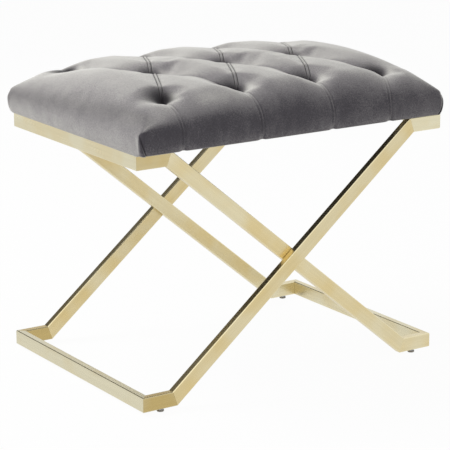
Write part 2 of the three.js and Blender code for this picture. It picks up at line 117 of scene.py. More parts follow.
# %% Node helpers
class Tree:
    def __init__(self, tree):
        self.tree = tree
        self.family = tree.bl_idname.removesuffix("Tree")

    def join(self, value, socket):
        if isinstance(value, bpy.types.NodeSocket):
            self.tree.links.new(value, socket)
        else:
            socket.default_value = value

    def node(self, kind, inputs=None, **settings):
        made = set_all(self.tree.nodes.new(kind if "Node" in kind else self.family + kind), **settings)
        for key, value in (inputs or {}).items():
            self.join(value, made.inputs[key])
        return made

    def first(self, kind, inputs=None, **settings):
        """Adds a node and gives its first output."""
        return self.node(kind, inputs, **settings).outputs[0]

    def math(self, operation, first, second=0.0, third=0.0):
        return self.first("ShaderNodeMath", {0: first, 1: second, 2: third}, operation=operation)

    def plus(self, first, second):
        return self.math("ADD", first, second)

    def minus(self, first, second):
        return self.math("SUBTRACT", first, second)

    def times(self, first, second):
        return self.math("MULTIPLY", first, second)

    def vector_math(self, operation, first, second):
        return self.first("ShaderNodeVectorMath", {0: first, 1: second}, operation=operation)

    def xyz(self, x=0.0, y=0.0, z=0.0):
        return self.first("ShaderNodeCombineXYZ", {0: x, 1: y, 2: z})

    def split(self, vector):
        return self.node("ShaderNodeSeparateXYZ", {0: vector}).outputs


def new_tree(name, kind, inputs, outputs):
    tree = bpy.data.node_groups.new(name, kind)
    for label, socket_type, value in inputs:
        socket = tree.interface.new_socket(label, in_out="INPUT", socket_type=socket_type)
        if value is not None:
            socket.default_value = value
    for label, socket_type in outputs:
        tree.interface.new_socket(label, in_out="OUTPUT", socket_type=socket_type)
    entry = tree.nodes.new("NodeGroupInput")
    leave = tree.nodes.new("NodeGroupOutput")
    return Tree(tree), entry.outputs, leave.inputs


def linear(red, green, blue):
    """A colour as painters' programs give it, 0 to 255, in the linear values that shaders take."""
    scaled = (value / 255 for value in (red, green, blue))
    return tuple(v / 12.92 if v <= 0.04045 else ((v + 0.055) / 1.055) ** 2.4 for v in scaled) + (1.0,)


# %% [markdown]
# ## Studio
#
# A white cove: a pale floor that fades to white for the camera but keeps the stool's soft
# shadow, and a white world. The world shows its full white only to the camera and to
# reflections, so that the metal mirrors a white room while the velvet isn't flooded with light.
# High up behind the stool a black flag shows in reflections alone: it draws the dark upper faces
# of the legs, as photographers do to give pale metal an edge.

# %% World and floor
WHITE = (1.0, 1.0, 1.0, 1.0)
WORLD_FILL = 0.44
FLOOR_WHITE = 0.86
FLOOR_GLOW_SHARE = 0.96
FLOOR_REACH = 8.0
FLAG_TOWARDS = Vector((-0.15, 0.80, 0.57))
# The cosines of the angles from its middle at which the flag starts and is full
FLAG_EDGE = (0.82, 0.94)
FLAG_DARKNESS = 0.88


def seen_or_mirrored(tree):
    """1 for rays from the camera, in reflections and through glass, else 0."""
    path = tree.node("LightPath").outputs
    mirrored = tree.math("MAXIMUM", path["Is Glossy Ray"], path["Is Transmission Ray"])
    return tree.math("MAXIMUM", path["Is Camera Ray"], mirrored)


def make_world():
    world = bpy.data.worlds.new("studio")
    bpy.context.scene.world = world
    world.use_nodes = True
    tree = Tree(world.node_tree)
    background = world.node_tree.nodes["Background"].inputs
    background["Color"].default_value = WHITE
    strength = tree.math("MULTIPLY_ADD", seen_or_mirrored(tree), 1.0 - WORLD_FILL, WORLD_FILL)
    direction = tree.node("TexCoord").outputs["Generated"]
    dot = {0: direction, 1: FLAG_TOWARDS.normalized()}
    near = tree.node("VectorMath", dot, operation="DOT_PRODUCT").outputs["Value"]
    inputs = {0: near, 1: FLAG_EDGE[0], 2: FLAG_EDGE[1], 3: 0.0, 4: FLAG_DARKNESS}
    flag = tree.first("MapRange", inputs, interpolation_type="SMOOTHSTEP")
    flag = tree.times(flag, tree.node("LightPath").outputs["Is Glossy Ray"])
    tree.join(tree.times(strength, tree.minus(1.0, flag)), background["Strength"])


def make_floor():
    mesh = bpy.data.meshes.new("floor")
    half = FLOOR_REACH / 2
    corners = [(-half, -half, 0), (half, -half, 0), (half, half, 0), (-half, half, 0)]
    mesh.from_pydata(corners, [], [(0, 1, 2, 3)])
    material = bpy.data.materials.new("studio_floor")
    material.use_nodes = True
    material.node_tree.nodes.clear()
    tree = Tree(material.node_tree)
    matte = tree.first("BsdfDiffuse", {"Color": (FLOOR_WHITE, FLOOR_WHITE, FLOOR_WHITE, 1.0)})
    glow = tree.first("Emission", {"Color": WHITE, "Strength": 1.0})
    share = tree.times(seen_or_mirrored(tree), FLOOR_GLOW_SHARE)
    tree.node("OutputMaterial", {"Surface": tree.first("MixShader", {0: share, 1: matte, 2: glow})})
    mesh.materials.append(material)
    add_object("floor", mesh)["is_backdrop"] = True


make_world()
make_floor()
bpy.context.scene.view_settings.view_transform = "Standard"
print("studio: world fill", WORLD_FILL)

# %% [markdown]
# ## Lamps
#
# Three large soft boxes. The main one hangs behind the stool's left end, which is why the crests
# of the puffs are pale while the long front face stays dark. One at the left lights the end
# face, and a weak one in front keeps the front face readable.

# %% Lamps
SOFT_BOXES = [
    {"name": "main", "place": (-1.3, 1.5, 2.5), "size": 1.5, "watts": 52.0, "mirrored": False},
    {"name": "side", "place": (-3.0, -0.7, 1.5), "size": 2.6, "watts": 20.0, "mirrored": True},
    {"name": "fill", "place": (-0.8, -2.9, 1.4), "size": 2.4, "watts": 11.0, "mirrored": True},
]
AIM = Vector((0.0, 0.0, 0.35))


def make_lamp(name, place, size, watts, mirrored):
    data = set_all(bpy.data.lights.new(name, "AREA"), shape="SQUARE", size=size, energy=watts)
    lamp = set_all(add_object(name, data), location=place, visible_glossy=mirrored)
    look_along(lamp, AIM - Vector(place))


for box in SOFT_BOXES:
    make_lamp(**box)
print("lamps:", len(SOFT_BOXES))

# %% [markdown]
# ## Shared effects
#
# Two effects return in several finishes, so each is a shader group built once. *Brushed grain*
# draws the fine lines that an abrasive belt leaves along a tube, from coordinates that run with
# the tube. *Mottle* is a soft cloudy unevenness, at any scale, for cloth, foam, wood and plastic.

# %% Shader groups
FLOAT, VECTOR, SHAPE = "NodeSocketFloat", "NodeSocketVector", "NodeSocketGeometry"


def noise(tree, vector, scale, detail, **more):
    inputs = {"Vector": vector, "Scale": scale, "Detail": detail, **more}
    return tree.first("TexNoise", inputs)


def make_brushed_grain():
    inputs = [("Vector", VECTOR, None), ("Fineness", FLOAT, 900.0), ("Length Share", FLOAT, 0.012)]
    outputs = [("Shade", FLOAT), ("Cloud", FLOAT), ("Height", FLOAT)]
    tree, given, result = new_tree("brushed_grain", "ShaderNodeTree", inputs, outputs)
    along = tree.times(given["Fineness"], given["Length Share"])
    stretch = tree.xyz(given["Fineness"], given["Fineness"], along)
    drawn = tree.vector_math("MULTIPLY", given["Vector"], stretch)
    fine = noise(tree, drawn, 1.0, 3.0, Roughness=0.62)
    broad = noise(tree, drawn, 0.16, 2.0)
    cloud = noise(tree, given["Vector"], 14.0, 2.0)
    tree.join(tree.math("MULTIPLY_ADD", fine, 0.6, tree.times(broad, 0.4)), result["Shade"])
    tree.join(cloud, result["Cloud"])
    tree.join(fine, result["Height"])
    return tree.tree


def make_mottle():
    inputs = [("Vector", VECTOR, None), ("Broad Scale", FLOAT, 18.0)]
    inputs += [("Fine Scale", FLOAT, 900.0), ("Fine Share", FLOAT, 0.4)]
    outputs = [("Tone", FLOAT), ("Height", FLOAT)]
    tree, given, result = new_tree("mottle", "ShaderNodeTree", inputs, outputs)
    broad = noise(tree, given["Vector"], given["Broad Scale"], 3.0)
    fine = noise(tree, given["Vector"], given["Fine Scale"], 2.0)
    tree.join(tree.first("Mix", {0: given["Fine Share"], 2: broad, 3: fine}), result["Tone"])
    tree.join(fine, result["Height"])
    return tree.tree


BRUSHED_GRAIN = make_brushed_grain()
MOTTLE = make_mottle()
print("shader groups:", BRUSHED_GRAIN.name, MOTTLE.name)

# %% [markdown]
# ## Finishes
#
# Each finish is one material around a single Principled shader. Values that are the same all
# over are set on the shader itself; only what changes over the surface is linked.


# %% Material helpers
class Finish(Tree):
    """A material's tree. A key such as Base_Color stands for the shader's Base Color."""

    def __init__(self, name, **constants):
        self.material = bpy.data.materials.new(name)
        self.material.use_nodes = True
        super().__init__(self.material.node_tree)
        self.shader = self.tree.nodes["Principled BSDF"]
        self.set(self.shader, constants)

    def set(self, node, values):
        for key, value in values.items():
            self.join(value, node.inputs[key.replace("_", " ")])

    def group(self, group, **inputs):
        made = self.node("Group", node_tree=group)
        self.set(made, inputs)
        return made.outputs

    def attribute(self, name):
        return self.node("Attribute", attribute_name=name).outputs["Fac"]

    def place(self):
        return self.node("TexCoord").outputs["Object"]

    def blend(self, share, first, second, mode="MIX"):
        inputs = {0: share, 6: first, 7: second}
        return self.node("Mix", inputs, data_type="RGBA", blend_type=mode).outputs[2]

    def ramp(self, share, stops):
        made = self.node("ValToRGB", {0: share})
        for k, (position, colour) in enumerate(stops):
            stop = made.color_ramp.elements[k] if k < 2 else made.color_ramp.elements.new(1.0)
            stop.position, stop.color = position, colour
        return made.outputs[0]

    def bump(self, height, distance, strength=1.0):
        return self.first("Bump", {"Height": height, "Distance": distance, "Strength": strength})

    def span(self, value, low, high, out_low=0.0, out_high=1.0):
        """Maps a value's range onto another, and holds it there."""
        return self.first("MapRange", {0: value, 1: low, 2: high, 3: out_low, 4: out_high})

    def done(self, **links):
        self.set(self.shader, links)
        return self.material


# %% [markdown]
# ### Brushed gold
#
# Thin gold-toned plating on brushed steel. The grain follows each length of tube, so where two
# lengths meet on a mitre the direction of the lines turns and the tone jumps a little: every
# length has its own tone, and its own brightness, which is painted light and shade for how the
# light falls on it. The corners of the section are rubbed smoother than the flats, and are painted
# paler there as a highlight.

# %% Brushed gold
PALE_GOLD = linear(222, 215, 186)
WARM_GOLD = linear(214, 190, 128)
# The paler gold of the worn corners: partly wear, partly a painted highlight
WORN_CORNER_HIGHLIGHT = linear(233, 224, 190)
# The range that most of the noise lies in
MIDDLING = (0.3, 0.7)


def make_brushed_gold():
    """For the tubes, which carry the grain's direction, their tone with its painted light and shade, and
    their worn corners with a painted highlight.
    """
    gold = Finish("brushed_gold_finish", Metallic=1.0)
    grain = gold.node("Attribute", attribute_name="grain").outputs["Vector"]
    drawn = gold.group(BRUSHED_GRAIN, Vector=grain)
    warmth = gold.plus(gold.attribute("tone"), gold.span(drawn["Cloud"], 0.38, 0.66, -0.15, 0.3))
    colour = gold.blend(warmth, PALE_GOLD, WARM_GOLD)
    # Worn corners painted paler, partly wear and partly a painted highlight
    colour = gold.blend(gold.times(gold.attribute("rub"), 0.5), colour, WORN_CORNER_HIGHLIGHT)
    # Each length's brightness, the shade attribute, is painted light and shade
    shade = gold.times(gold.span(drawn["Shade"], *MIDDLING, 0.93, 1.05), gold.attribute("shade"))
    grey = gold.first("CombineColor", {0: shade, 1: shade, 2: shade})
    return gold.done(
        Base_Color=gold.blend(1.0, colour, grey, "MULTIPLY"),
        Roughness=gold.span(drawn["Shade"], *MIDDLING, 0.36, 0.24),
        Normal=gold.bump(drawn["Height"], 0.00004),
    )


def make_plate_gold():
    """For the plates and welds, plated but not brushed: cloudy, a little duller and deeper."""
    gold = Finish("plated_gold", Metallic=1.0)
    drawn = gold.group(BRUSHED_GRAIN, Vector=gold.place(), Fineness=500.0, Length_Share=0.6)
    return gold.done(
        Base_Color=gold.blend(gold.span(drawn["Cloud"], 0.35, 0.65, 0.2, 0.9), PALE_GOLD, WARM_GOLD),
        Roughness=gold.span(drawn["Shade"], *MIDDLING, 0.5, 0.36),
        Normal=gold.bump(drawn["Height"], 0.00006),
    )


brushed_gold = make_brushed_gold()
plate_gold = make_plate_gold()
print("finishes:", brushed_gold.name, plate_gold.name)

# %% [markdown]
# ### Velvet
#
# Velvet's short upright pile hides its lit sides when one looks straight into it and shows its
# bright tips at a low angle. So the colour is painted as a sheen: dark where the cloth faces the eye
# and pale where it turns away. Layer Weight gives that fall-off, and the shader's own sheen adds the
# soft glow on top. Two attributes of the cover paint more light and shade into the colour: a painted
# highlight on the long sides' shoulders and on the lit wall of each pit, and painted shade in the
# creases, the pits, along the ends and under the hem.

# %% Velvet
# The colour of the painted shade in creases, pits and hollows, and the most of it that is laid on
PILE_SHADOW = linear(30, 28, 31)
CREASE_SHADE_STRENGTH = 0.95
MOTTLING = 0.085
# How far the pile turns from the eye, and the colour painted there as its sheen
PAINTED_SHEEN_RAMP = [
    (0.10, linear(76, 73, 78)),
    (0.20, linear(82, 79, 84)),
    (0.27, linear(108, 105, 108)),
    (0.35, linear(128, 125, 127)),
    (0.46, linear(142, 139, 140)),
    (0.56, linear(168, 165, 163)),
    (0.78, linear(202, 200, 195)),
    (1.00, linear(226, 224, 218)),
]


def make_velvet():
    sheen = {"Sheen_Weight": 0.35, "Sheen_Roughness": 0.35, "Sheen_Tint": (0.93, 0.93, 0.96, 1.0)}
    cloth = Finish("grey_velvet", Roughness=0.9, Specular_IOR_Level=0.15, **sheen)
    place = cloth.place()
    nap = cloth.group(MOTTLE, Vector=place, Broad_Scale=26.0, Fine_Scale=420.0, Fine_Share=0.6)
    pile = cloth.group(MOTTLE, Vector=place, Broad_Scale=900.0, Fine_Scale=2600.0, Fine_Share=0.5)
    normal = cloth.bump(pile["Tone"], 0.0004, 0.6)
    facing = cloth.node("LayerWeight", {"Blend": 0.5, "Normal": normal}).outputs["Facing"]
    mottled = cloth.span(nap["Tone"], *MIDDLING, -MOTTLING, MOTTLING)
    # The painted sheen, plus the painted highlight and the nap's real unevenness
    painted_sheen_and_nap = cloth.plus(facing, cloth.plus(cloth.attribute("swept"), mottled))
    # The crease attribute is painted shade, laid on in creases, pits, along the ends and under the hem
    crease = cloth.times(cloth.attribute("crease"), CREASE_SHADE_STRENGTH)
    colour = cloth.blend(crease, cloth.ramp(painted_sheen_and_nap, PAINTED_SHEEN_RAMP), PILE_SHADOW)
    return cloth.done(Base_Color=colour, Normal=normal)


velvet = make_velvet()
print("finish:", velvet.name)

# %% [markdown]
# ### Hidden and small finishes
#
# Zinc-plated fasteners, the glides' moulded plastic, the plywood board with its plies showing on
# the edge, foam, the black cloth under the seat and the twine of the ties.

# %% Small finishes
# Two plies to each turn of the wave, in turns a metre
PLY_WAVE = 333.0


def make_mottled(name, dark, light, broad, fine, bump, roughness, metallic=0.0):
    """A finish whose tone wanders between two colours, with a fine bump of the same grain."""
    finish = Finish(name, Roughness=roughness, Metallic=metallic)
    cloud = finish.group(MOTTLE, Vector=finish.place(), Broad_Scale=broad, Fine_Scale=fine)
    colour = finish.blend(finish.span(cloud["Tone"], 0.35, 0.65), linear(*dark), linear(*light))
    return finish.done(Base_Color=colour, Normal=finish.bump(cloud["Height"], bump))


def make_plywood():
    wood = Finish("plywood_board", Roughness=0.72)
    place = wood.place()
    drawn = wood.vector_math("MULTIPLY", place, (4.0, 130.0, 130.0))
    veins = noise(wood, drawn, 1.0, 4.0)
    plies = wood.math("PINGPONG", wood.times(wood.split(place)[2], PLY_WAVE), 1.0)
    share = wood.plus(wood.span(veins, *MIDDLING, 0.0, 0.7), wood.span(plies, 0.35, 0.65, 0.0, 0.25))
    colour = wood.blend(share, linear(214, 186, 140), linear(164, 124, 78))
    return wood.done(Base_Color=colour, Normal=wood.bump(veins, 0.0002))


# The two colours, the scales of the broad and the fine clouds, the bump's depth in metres, the
# roughness, and how metallic it is
zinc = make_mottled("zinc_plate", (168, 172, 178), (206, 208, 210), 60.0, 700.0, 0.00002, 0.32, 1.0)
glide_plastic = make_mottled("moulded_grey", (138, 134, 126), (156, 151, 142), 90.0, 1400.0, 0.00006, 0.5)
foam_skin = make_mottled("open_cell_foam", (214, 203, 170), (236, 228, 203), 120.0, 900.0, 0.0005, 0.95)
black_cloth = make_mottled("black_nonwoven", (24, 24, 26), (40, 40, 43), 40.0, 1100.0, 0.00025, 0.9)
twine = make_mottled("waxed_twine", (196, 190, 172), (226, 221, 206), 300.0, 2400.0, 0.0002, 0.8)
plywood = make_plywood()
print("finishes:", len(bpy.data.materials))

# %% [markdown]
# ## Growing pieces with Geometry Nodes
#
# What repeats, or follows a rule, is grown by a Geometry Nodes tree with named sizes. The helper
# runs a tree on an empty mesh, keeps the result as a plain mesh and takes the modifier away.


# %% Growing helper
def bake(piece):
    """Turns what the modifiers make of a piece into its own plain mesh."""
    graph = bpy.context.evaluated_depsgraph_get()
    mesh = bpy.data.meshes.new_from_object(piece.evaluated_get(graph), depsgraph=graph)
    mesh.name = piece.name
    piece.modifiers.clear()
    piece.data = mesh
    return piece


def face_outwards(mesh):
    form = bmesh.new()
    form.from_mesh(mesh)
    bmesh.ops.recalc_face_normals(form, faces=form.faces)
    form.to_mesh(mesh)
    form.free()


def new_shape_tree(name, inputs):
    """Every tree is given its material last."""
    inputs = inputs + [("Material", "NodeSocketMaterial", None)]
    return new_tree(name, "GeometryNodeTree", inputs, [("Geometry", SHAPE)])


def finish_tree(tree, given, geometry, result):
    """Every tree ends alike: instances made real, then the material."""
    real = tree.first("RealizeInstances", {0: geometry})
    dressed = tree.first("SetMaterial", {"Geometry": real, "Material": given["Material"]})
    tree.join(dressed, result["Geometry"])
    print("tree:", tree.tree.name, len(tree.tree.nodes), "nodes")
    return tree.tree


def grow(name, tree, **sizes):
    piece = add_object(name, bpy.data.meshes.new(name))
    modifier = piece.modifiers.new("grow", "NODES")
    modifier.node_group = tree
    for item in tree.interface.items_tree:
        key = item.name.replace(" ", "_").lower()
        if item.item_type == "SOCKET" and item.in_out == "INPUT" and key in sizes:
            modifier[item.identifier] = sizes[key]
    return bake(piece)


# %% [markdown]
# ## Mitred tube
#
# Every length of the frame is the same rule: a rounded rectangle with a wall, drawn out to a
# length, whose two ends are cut on a slope so that they close against the next length. The tree
# also stores what the finish needs: coordinates that run with the tube, its tone, its brightness,
# which is painted light and shade, and how near each point is to a worn corner, where a highlight
# is painted.

# %% Mitred tube tree
CORNER_STEPS = 5
LEAST_BORE_CORNER = 0.3 * MM
SAME_PLACE = 0.01 * MM


def make_tube_tree():
    labels = ["Length", "Width", "Height", "Corner", "Wall", "Start Across", "Start Up"]
    labels += ["End Across", "End Up", "Tone", "Shade", "Seed"]
    inputs = [(label, FLOAT, 0.0) for label in labels]
    tree, given, result = new_shape_tree("mitred_tube", inputs)

    def ring(inset, corner):
        sizes = {"Width": tree.minus(given["Width"], inset), "Height": tree.minus(given["Height"], inset)}
        rounding = {"Curve": tree.first("CurvePrimitiveQuadrilateral", sizes), "Count": CORNER_STEPS}
        return tree.first("FilletCurve", {**rounding, "Radius": corner}, mode="POLY")

    bore_corner = tree.math("MAXIMUM", tree.minus(given["Corner"], given["Wall"]), LEAST_BORE_CORNER)
    rings, parts = tree.node("JoinGeometry"), tree.node("JoinGeometry")
    tree.join(ring(0.0, given["Corner"]), rings.inputs[0])
    tree.join(ring(tree.times(given["Wall"], 2.0), bore_corner), rings.inputs[0])
    section = tree.first("FillCurve", {0: rings.outputs[0]}, mode="TRIANGLES")
    drawn = {"Mesh": section, "Offset": tree.xyz(z=given["Length"]), "Offset Scale": 1.0, "Individual": False}
    tree.join(tree.first("ExtrudeMesh", drawn, mode="FACES"), parts.inputs[0])
    tree.join(tree.first("FlipFaces", {"Mesh": section}), parts.inputs[0])
    closed = tree.first("MergeByDistance", {"Geometry": parts.outputs[0], "Distance": SAME_PLACE})

    place = tree.first("InputPosition")
    x, y, z = tree.split(place)
    at_start, at_end = (
        tree.math("MULTIPLY_ADD", x, given[end + " Across"], tree.times(y, given[end + " Up"]))
        for end in ("Start", "End")
    )
    far = tree.math("GREATER_THAN", z, tree.times(given["Length"], 0.5))
    slope = tree.first("ShaderNodeMix", {0: far, 2: at_start, 3: at_end})
    stored = tree.first("SetPosition", {"Geometry": closed, "Offset": tree.xyz(z=slope)})

    def near_corner(value, size):
        beyond = tree.minus(tree.math("ABSOLUTE", value), tree.times(size, 0.5))
        return tree.math("GREATER_THAN", tree.plus(beyond, given["Corner"]), SAME_PLACE)

    seed = tree.xyz(given["Seed"], given["Seed"], given["Seed"])
    # Worn corners, painted paler as a highlight, and each length's brightness, painted light and shade
    rub = tree.times(near_corner(x, given["Width"]), near_corner(y, given["Height"]))
    attributes = [("grain", "FLOAT_VECTOR", tree.vector_math("ADD", place, seed)), ("rub", "FLOAT", rub)]
    attributes += [("tone", "FLOAT", given["Tone"]), ("shade", "FLOAT", given["Shade"])]
    for label, kind, value in attributes:
        inputs = {"Geometry": stored, "Name": label, "Value": value}
        stored = tree.first("StoreNamedAttribute", inputs, data_type=kind, domain="POINT")
    return finish_tree(tree, given, stored, result)


tube_tree = make_tube_tree()

# %% [markdown]
# ## The two loops
#
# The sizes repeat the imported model's. A loop lies with its foot rail at the left end and its
# seat rail at the right end; the inner one is a little narrower and turned half round. Where two
# legs cross or two lengths meet they are welded, ground flush and brushed, so all that shows of
# a joint is a hairline: the ends get a tiny chamfer that draws it.

# %% Loops
FRAME_LENGTH, FRAME_RISE, FRAME_DEPTH = 598 * MM, 420 * MM, 430 * MM
BEND_REACH = 61 * MM
TUBE_HEIGHT, TUBE_WIDTH, TUBE_WALL, TUBE_CORNER = 25 * MM, 13 * MM, 1.5 * MM, 1.8 * MM
WELD_GAP = 0.3 * MM
STAND_HEIGHT = 5 * MM
MITRE_CHAMFER = 0.28 * MM
CHAMFER_ANGLE = math.radians(35)
FLAT_WEIGHT = 100
# What sets one length's grain apart from the next one's, and one loop's from the other's
SEED_STEP, LOOP_SEEDS = 0.37, (1.0, 7.0)

end_x = FRAME_LENGTH / 2
bend_x = end_x - BEND_REACH
rail_x = end_x - TUBE_WIDTH / 2
foot_z = STAND_HEIGHT + TUBE_HEIGHT / 2
top_z = STAND_HEIGHT + FRAME_RISE - TUBE_HEIGHT / 2
leg_angle = math.atan2(FRAME_RISE - TUBE_HEIGHT, 2 * bend_x)
bend_slope = math.tan(leg_angle / 2)
inner_depth = FRAME_DEPTH - 2 * (TUBE_WIDTH + WELD_GAP)

# Each length's warmth, from 0, pale, to 1, deep gold, and its brightness, which is painted light and shade
# for how the light falls on that length
TONE_AND_PAINTED_LIGHT = {
    "outer_foot_rail": (0.0, 0.93),
    "outer_top_rail": (0.1, 0.98),
    "outer_foot_return": (0.8, 0.8),
    "outer_leg": (0.5, 1.0),
    "outer_top_return": (0.1, 1.03),
    "inner_foot_rail": (0.15, 0.98),
    "inner_top_rail": (0.0, 0.95),
    "inner_foot_return": (0.25, 1.02),
    "inner_leg": (0.38, 1.02),
    "inner_top_return": (0.6, 0.88),
}


def round_off(piece):
    """Chamfers the sharp ends, and keeps flat faces flat in the shading of round corners."""
    piece.data.shade_smooth()
    chamfer = {"width": MITRE_CHAMFER, "segments": 2, "limit_method": "ANGLE", "angle_limit": CHAMFER_ANGLE}
    set_all(piece.modifiers.new("chamfer", "BEVEL"), **chamfer)
    set_all(piece.modifiers.new("flat faces", "WEIGHTED_NORMAL"), keep_sharp=True, weight=FLAT_WEIGHT)


def make_tube(name, start, end, across, start_cut, end_cut, turn, tone, seed):
    along = end - start
    direction = along.normalized()
    up = direction.cross(across)
    section = {"width": TUBE_WIDTH, "height": TUBE_HEIGHT, "corner": TUBE_CORNER, "wall": TUBE_WALL}
    cuts = {"start_across": start_cut[0], "start_up": start_cut[1]}
    cuts.update({"end_across": end_cut[0], "end_up": end_cut[1]})
    # The shade is the length's painted light and shade
    looks = {"tone": tone[0], "shade": tone[1], "seed": seed, "material": brushed_gold}
    piece = grow(name + "_tube", tube_tree, length=along.length, **section, **cuts, **looks)
    axes = Matrix((across, up, direction)).transposed().to_4x4()
    piece.data.transform(turn @ Matrix.Translation(start) @ axes)
    round_off(piece)
    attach(piece, "stool")
    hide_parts(name)


def make_loop(prefix, depth, side_names, turn, seed):
    side_y = depth / 2 - TUBE_WIDTH / 2
    foot_bend, top_bend = (0, -bend_slope), (0, bend_slope)
    across_depth, across_length = Vector((0, 1, 0)), Vector((-1, 0, 0))
    corners = ((-rail_x, foot_z), (-bend_x, foot_z), (bend_x, top_z), (rail_x, top_z))
    lengths = []
    for side, y, inward in ((side_names[0], -side_y, 1), (side_names[1], side_y, -1)):
        points = [Vector((x, y, z)) for x, z in corners]
        cuts = [((inward, 0), foot_bend), (top_bend, top_bend), (foot_bend, (-inward, 0))]
        for k, part in enumerate(("foot_return", "leg", "top_return")):
            lengths.append((f"{side}_{part}", part, points[k], points[k + 1], across_depth, *cuts[k]))
    for part, x, z, slope in (("foot_rail", -rail_x, foot_z, 1), ("top_rail", rail_x, top_z, -1)):
        ends = [Vector((x, sign * side_y, z)) for sign in (-1, 1)]
        lengths.append((part, part, *ends, across_length, (-slope, 0), (slope, 0)))
    for k, (name, part, *rest) in enumerate(lengths):
        make_tube(f"{prefix}_{name}", *rest, turn, TONE_AND_PAINTED_LIGHT[f"{prefix}_{part}"], seed + SEED_STEP * k)
    return len(lengths)


turned_round = Matrix.Rotation(math.pi, 4, "Z")
made = make_loop("outer", FRAME_DEPTH, ("front", "rear"), Matrix.Identity(4), LOOP_SEEDS[0])
made += make_loop("inner", inner_depth, ("rear", "front"), turned_round, LOOP_SEEDS[1])
print("tubes:", made)

# %% [markdown]
# ## The pieces that keep their solids
#
# Plates, bolts, washers, nuts and inserts are already right, so they only get their finish.

# %% Finishes for the kept solids
KEPT_FINISHES = {
    "seat_plate": plate_gold,
    "seat_bolt": zinc,
    "seat_washer": zinc,
    "seat_tee_nut": zinc,
    "glide_insert": zinc,
    "seat_board": plywood,
    "tuft_tie": twine,
}


def nodes_named(stem):
    return sorted(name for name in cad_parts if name.startswith(stem))


for stem, finish in KEPT_FINISHES.items():
    for name in nodes_named(stem):
        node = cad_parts[name]
        if not node.material_slots:
            node.data.materials.append(None)
        for slot in node.material_slots:
            slot.material = finish
print("kept solids dressed")

# %% [markdown]
# ## The tufted form
#
# Each tie pulls the velvet deep into the foam, and the spare cloth between two ties is tucked
# into a pleat. So the form is a rule: a low dome that rolls over at its edges, less a valley
# along every pleat and a pit at every tie. It is worked out on a fine grid, in millimetres, whose
# lines pass through the ties and whose diagonals lie along the pleats, so that folds stay crisp.

# %% Seat sizes, in millimetres
SEAT_LENGTH, SEAT_DEPTH = 594.0, 432.0
HEM_BOTTOM = 425.3
SIDE_HEIGHT, SIDE_BULGE, CREST_HEIGHT = 35.0, 5.5, 97.0
# How much lower the puffs are at the ends and at the sides than in the middle
CROWN_LENGTH, CROWN_DEPTH = 11.0, 19.0
# How far in from each edge the top is still rolling over
LEFT_ROLL, RIGHT_ROLL, FRONT_ROLL, REAR_ROLL = 92.0, 64.0, 66.0, 54.0
# Between two front pleats the velvet bulges out, so that it rolls over nearer to the edge
FRONT_PUFF = 6.0
# How round the shoulders are at the ends and at the front's left corner, where 1 is a quarter round
END_FULLNESS, FRONT_FULLNESS = 0.75, 0.85
# How far from the left corner the front is a full quarter round, in half lengths
FULL_ROUND_AFTER = 1.6
RIM_SWELL, HEM_WIDTH = 2.6, 30.0
HEM_CORNER, RIM_CORNER = 9.0, 8.0
TUFT_FROM_END, TUFT_FROM_SIDE, OUTER_ROW_TIES = 79.5, 66.0, 4
PIT_FLOOR, VALLEY_SPREAD = 55.0, 56.0
# A pit is drawn out along the row, and a little longer at its back
PIT_REACH, PIT_STRETCH, PIT_LEAN = 36.0, 14.0, 3.0
# A valley's depth half way or at the edge, and how fast it deepens towards a tie. One that rises
# to the right is pulled tighter.
VALLEYS = {"rising": (2.5, 8.0), "falling": (10.0, 2.0), "to_edge": (3.0, 2.2)}

half_x, half_y = SEAT_LENGTH / 2, SEAT_DEPTH / 2
tuft_x, tuft_y = half_x - TUFT_FROM_END, half_y - TUFT_FROM_SIDE
tuft_pitch = 2 * tuft_x / (OUTER_ROW_TIES - 1)
outer_row = [-tuft_x + k * tuft_pitch for k in range(OUTER_ROW_TIES)]
middle_row = [x + tuft_pitch / 2 for x in outer_row[:-1]]
# Where the pleat from each outer tie reaches the edge, measured along it from the tie
FRONT_DRIFT = (-5.0, 0.0, -4.0, -31.0)
REAR_DRIFT = (6.0, -4.0, 3.0, -7.0)


def list_pleats():
    between, to_edge = [], []
    for x in middle_row:
        for side in (-1, 1):
            for step in (-1, 1):
                between.append(((x, 0.0), (x + step * tuft_pitch / 2, side * tuft_y)))
    for side, drifts in ((-1, FRONT_DRIFT), (1, REAR_DRIFT)):
        for x, drift in zip(outer_row, drifts):
            to_edge.append(((x, side * tuft_y), (x + drift, side * half_y)))
    return between, to_edge


ties = [(x, side * tuft_y) for side in (-1, 1) for x in outer_row] + [(x, 0.0) for x in middle_row]
between_ties, to_edges = list_pleats()
print("ties:", len(ties), "pleats:", len(between_ties) + len(to_edges))

# %% Grid lines
STEPS_BETWEEN_ROWS = 50
END_STEPS, SIDE_STEPS = 70, 34
END_CROWDING, SIDE_CROWDING = 1.7, 1.8


def grid_line(reach, edge, steps, edge_steps, crowding):
    """Even steps between the outer ties, then steps that crowd towards the edge."""
    share = 1 - np.arange(1, edge_steps + 1) / edge_steps
    outside = edge - (edge - reach) * share**crowding
    return np.concatenate((-outside[::-1], np.linspace(-reach, reach, steps + 1), outside))


line_x = grid_line(tuft_x, half_x, STEPS_BETWEEN_ROWS * 2 * (OUTER_ROW_TIES - 1), END_STEPS, END_CROWDING)
line_y = grid_line(tuft_y, half_y, STEPS_BETWEEN_ROWS * 2, SIDE_STEPS, SIDE_CROWDING)
grid_x, grid_y = np.meshgrid(line_x, line_y, indexing="ij")
print("grid:", grid_x.shape)

# %% Distances on the top


def smooth(share):
    share = np.clip(share, 0, 1)
    return share * share * (3 - 2 * share)


def rises(pleat):
    (ax, ay), (bx, by) = pleat
    return (bx - ax) * (by - ay) >= 0


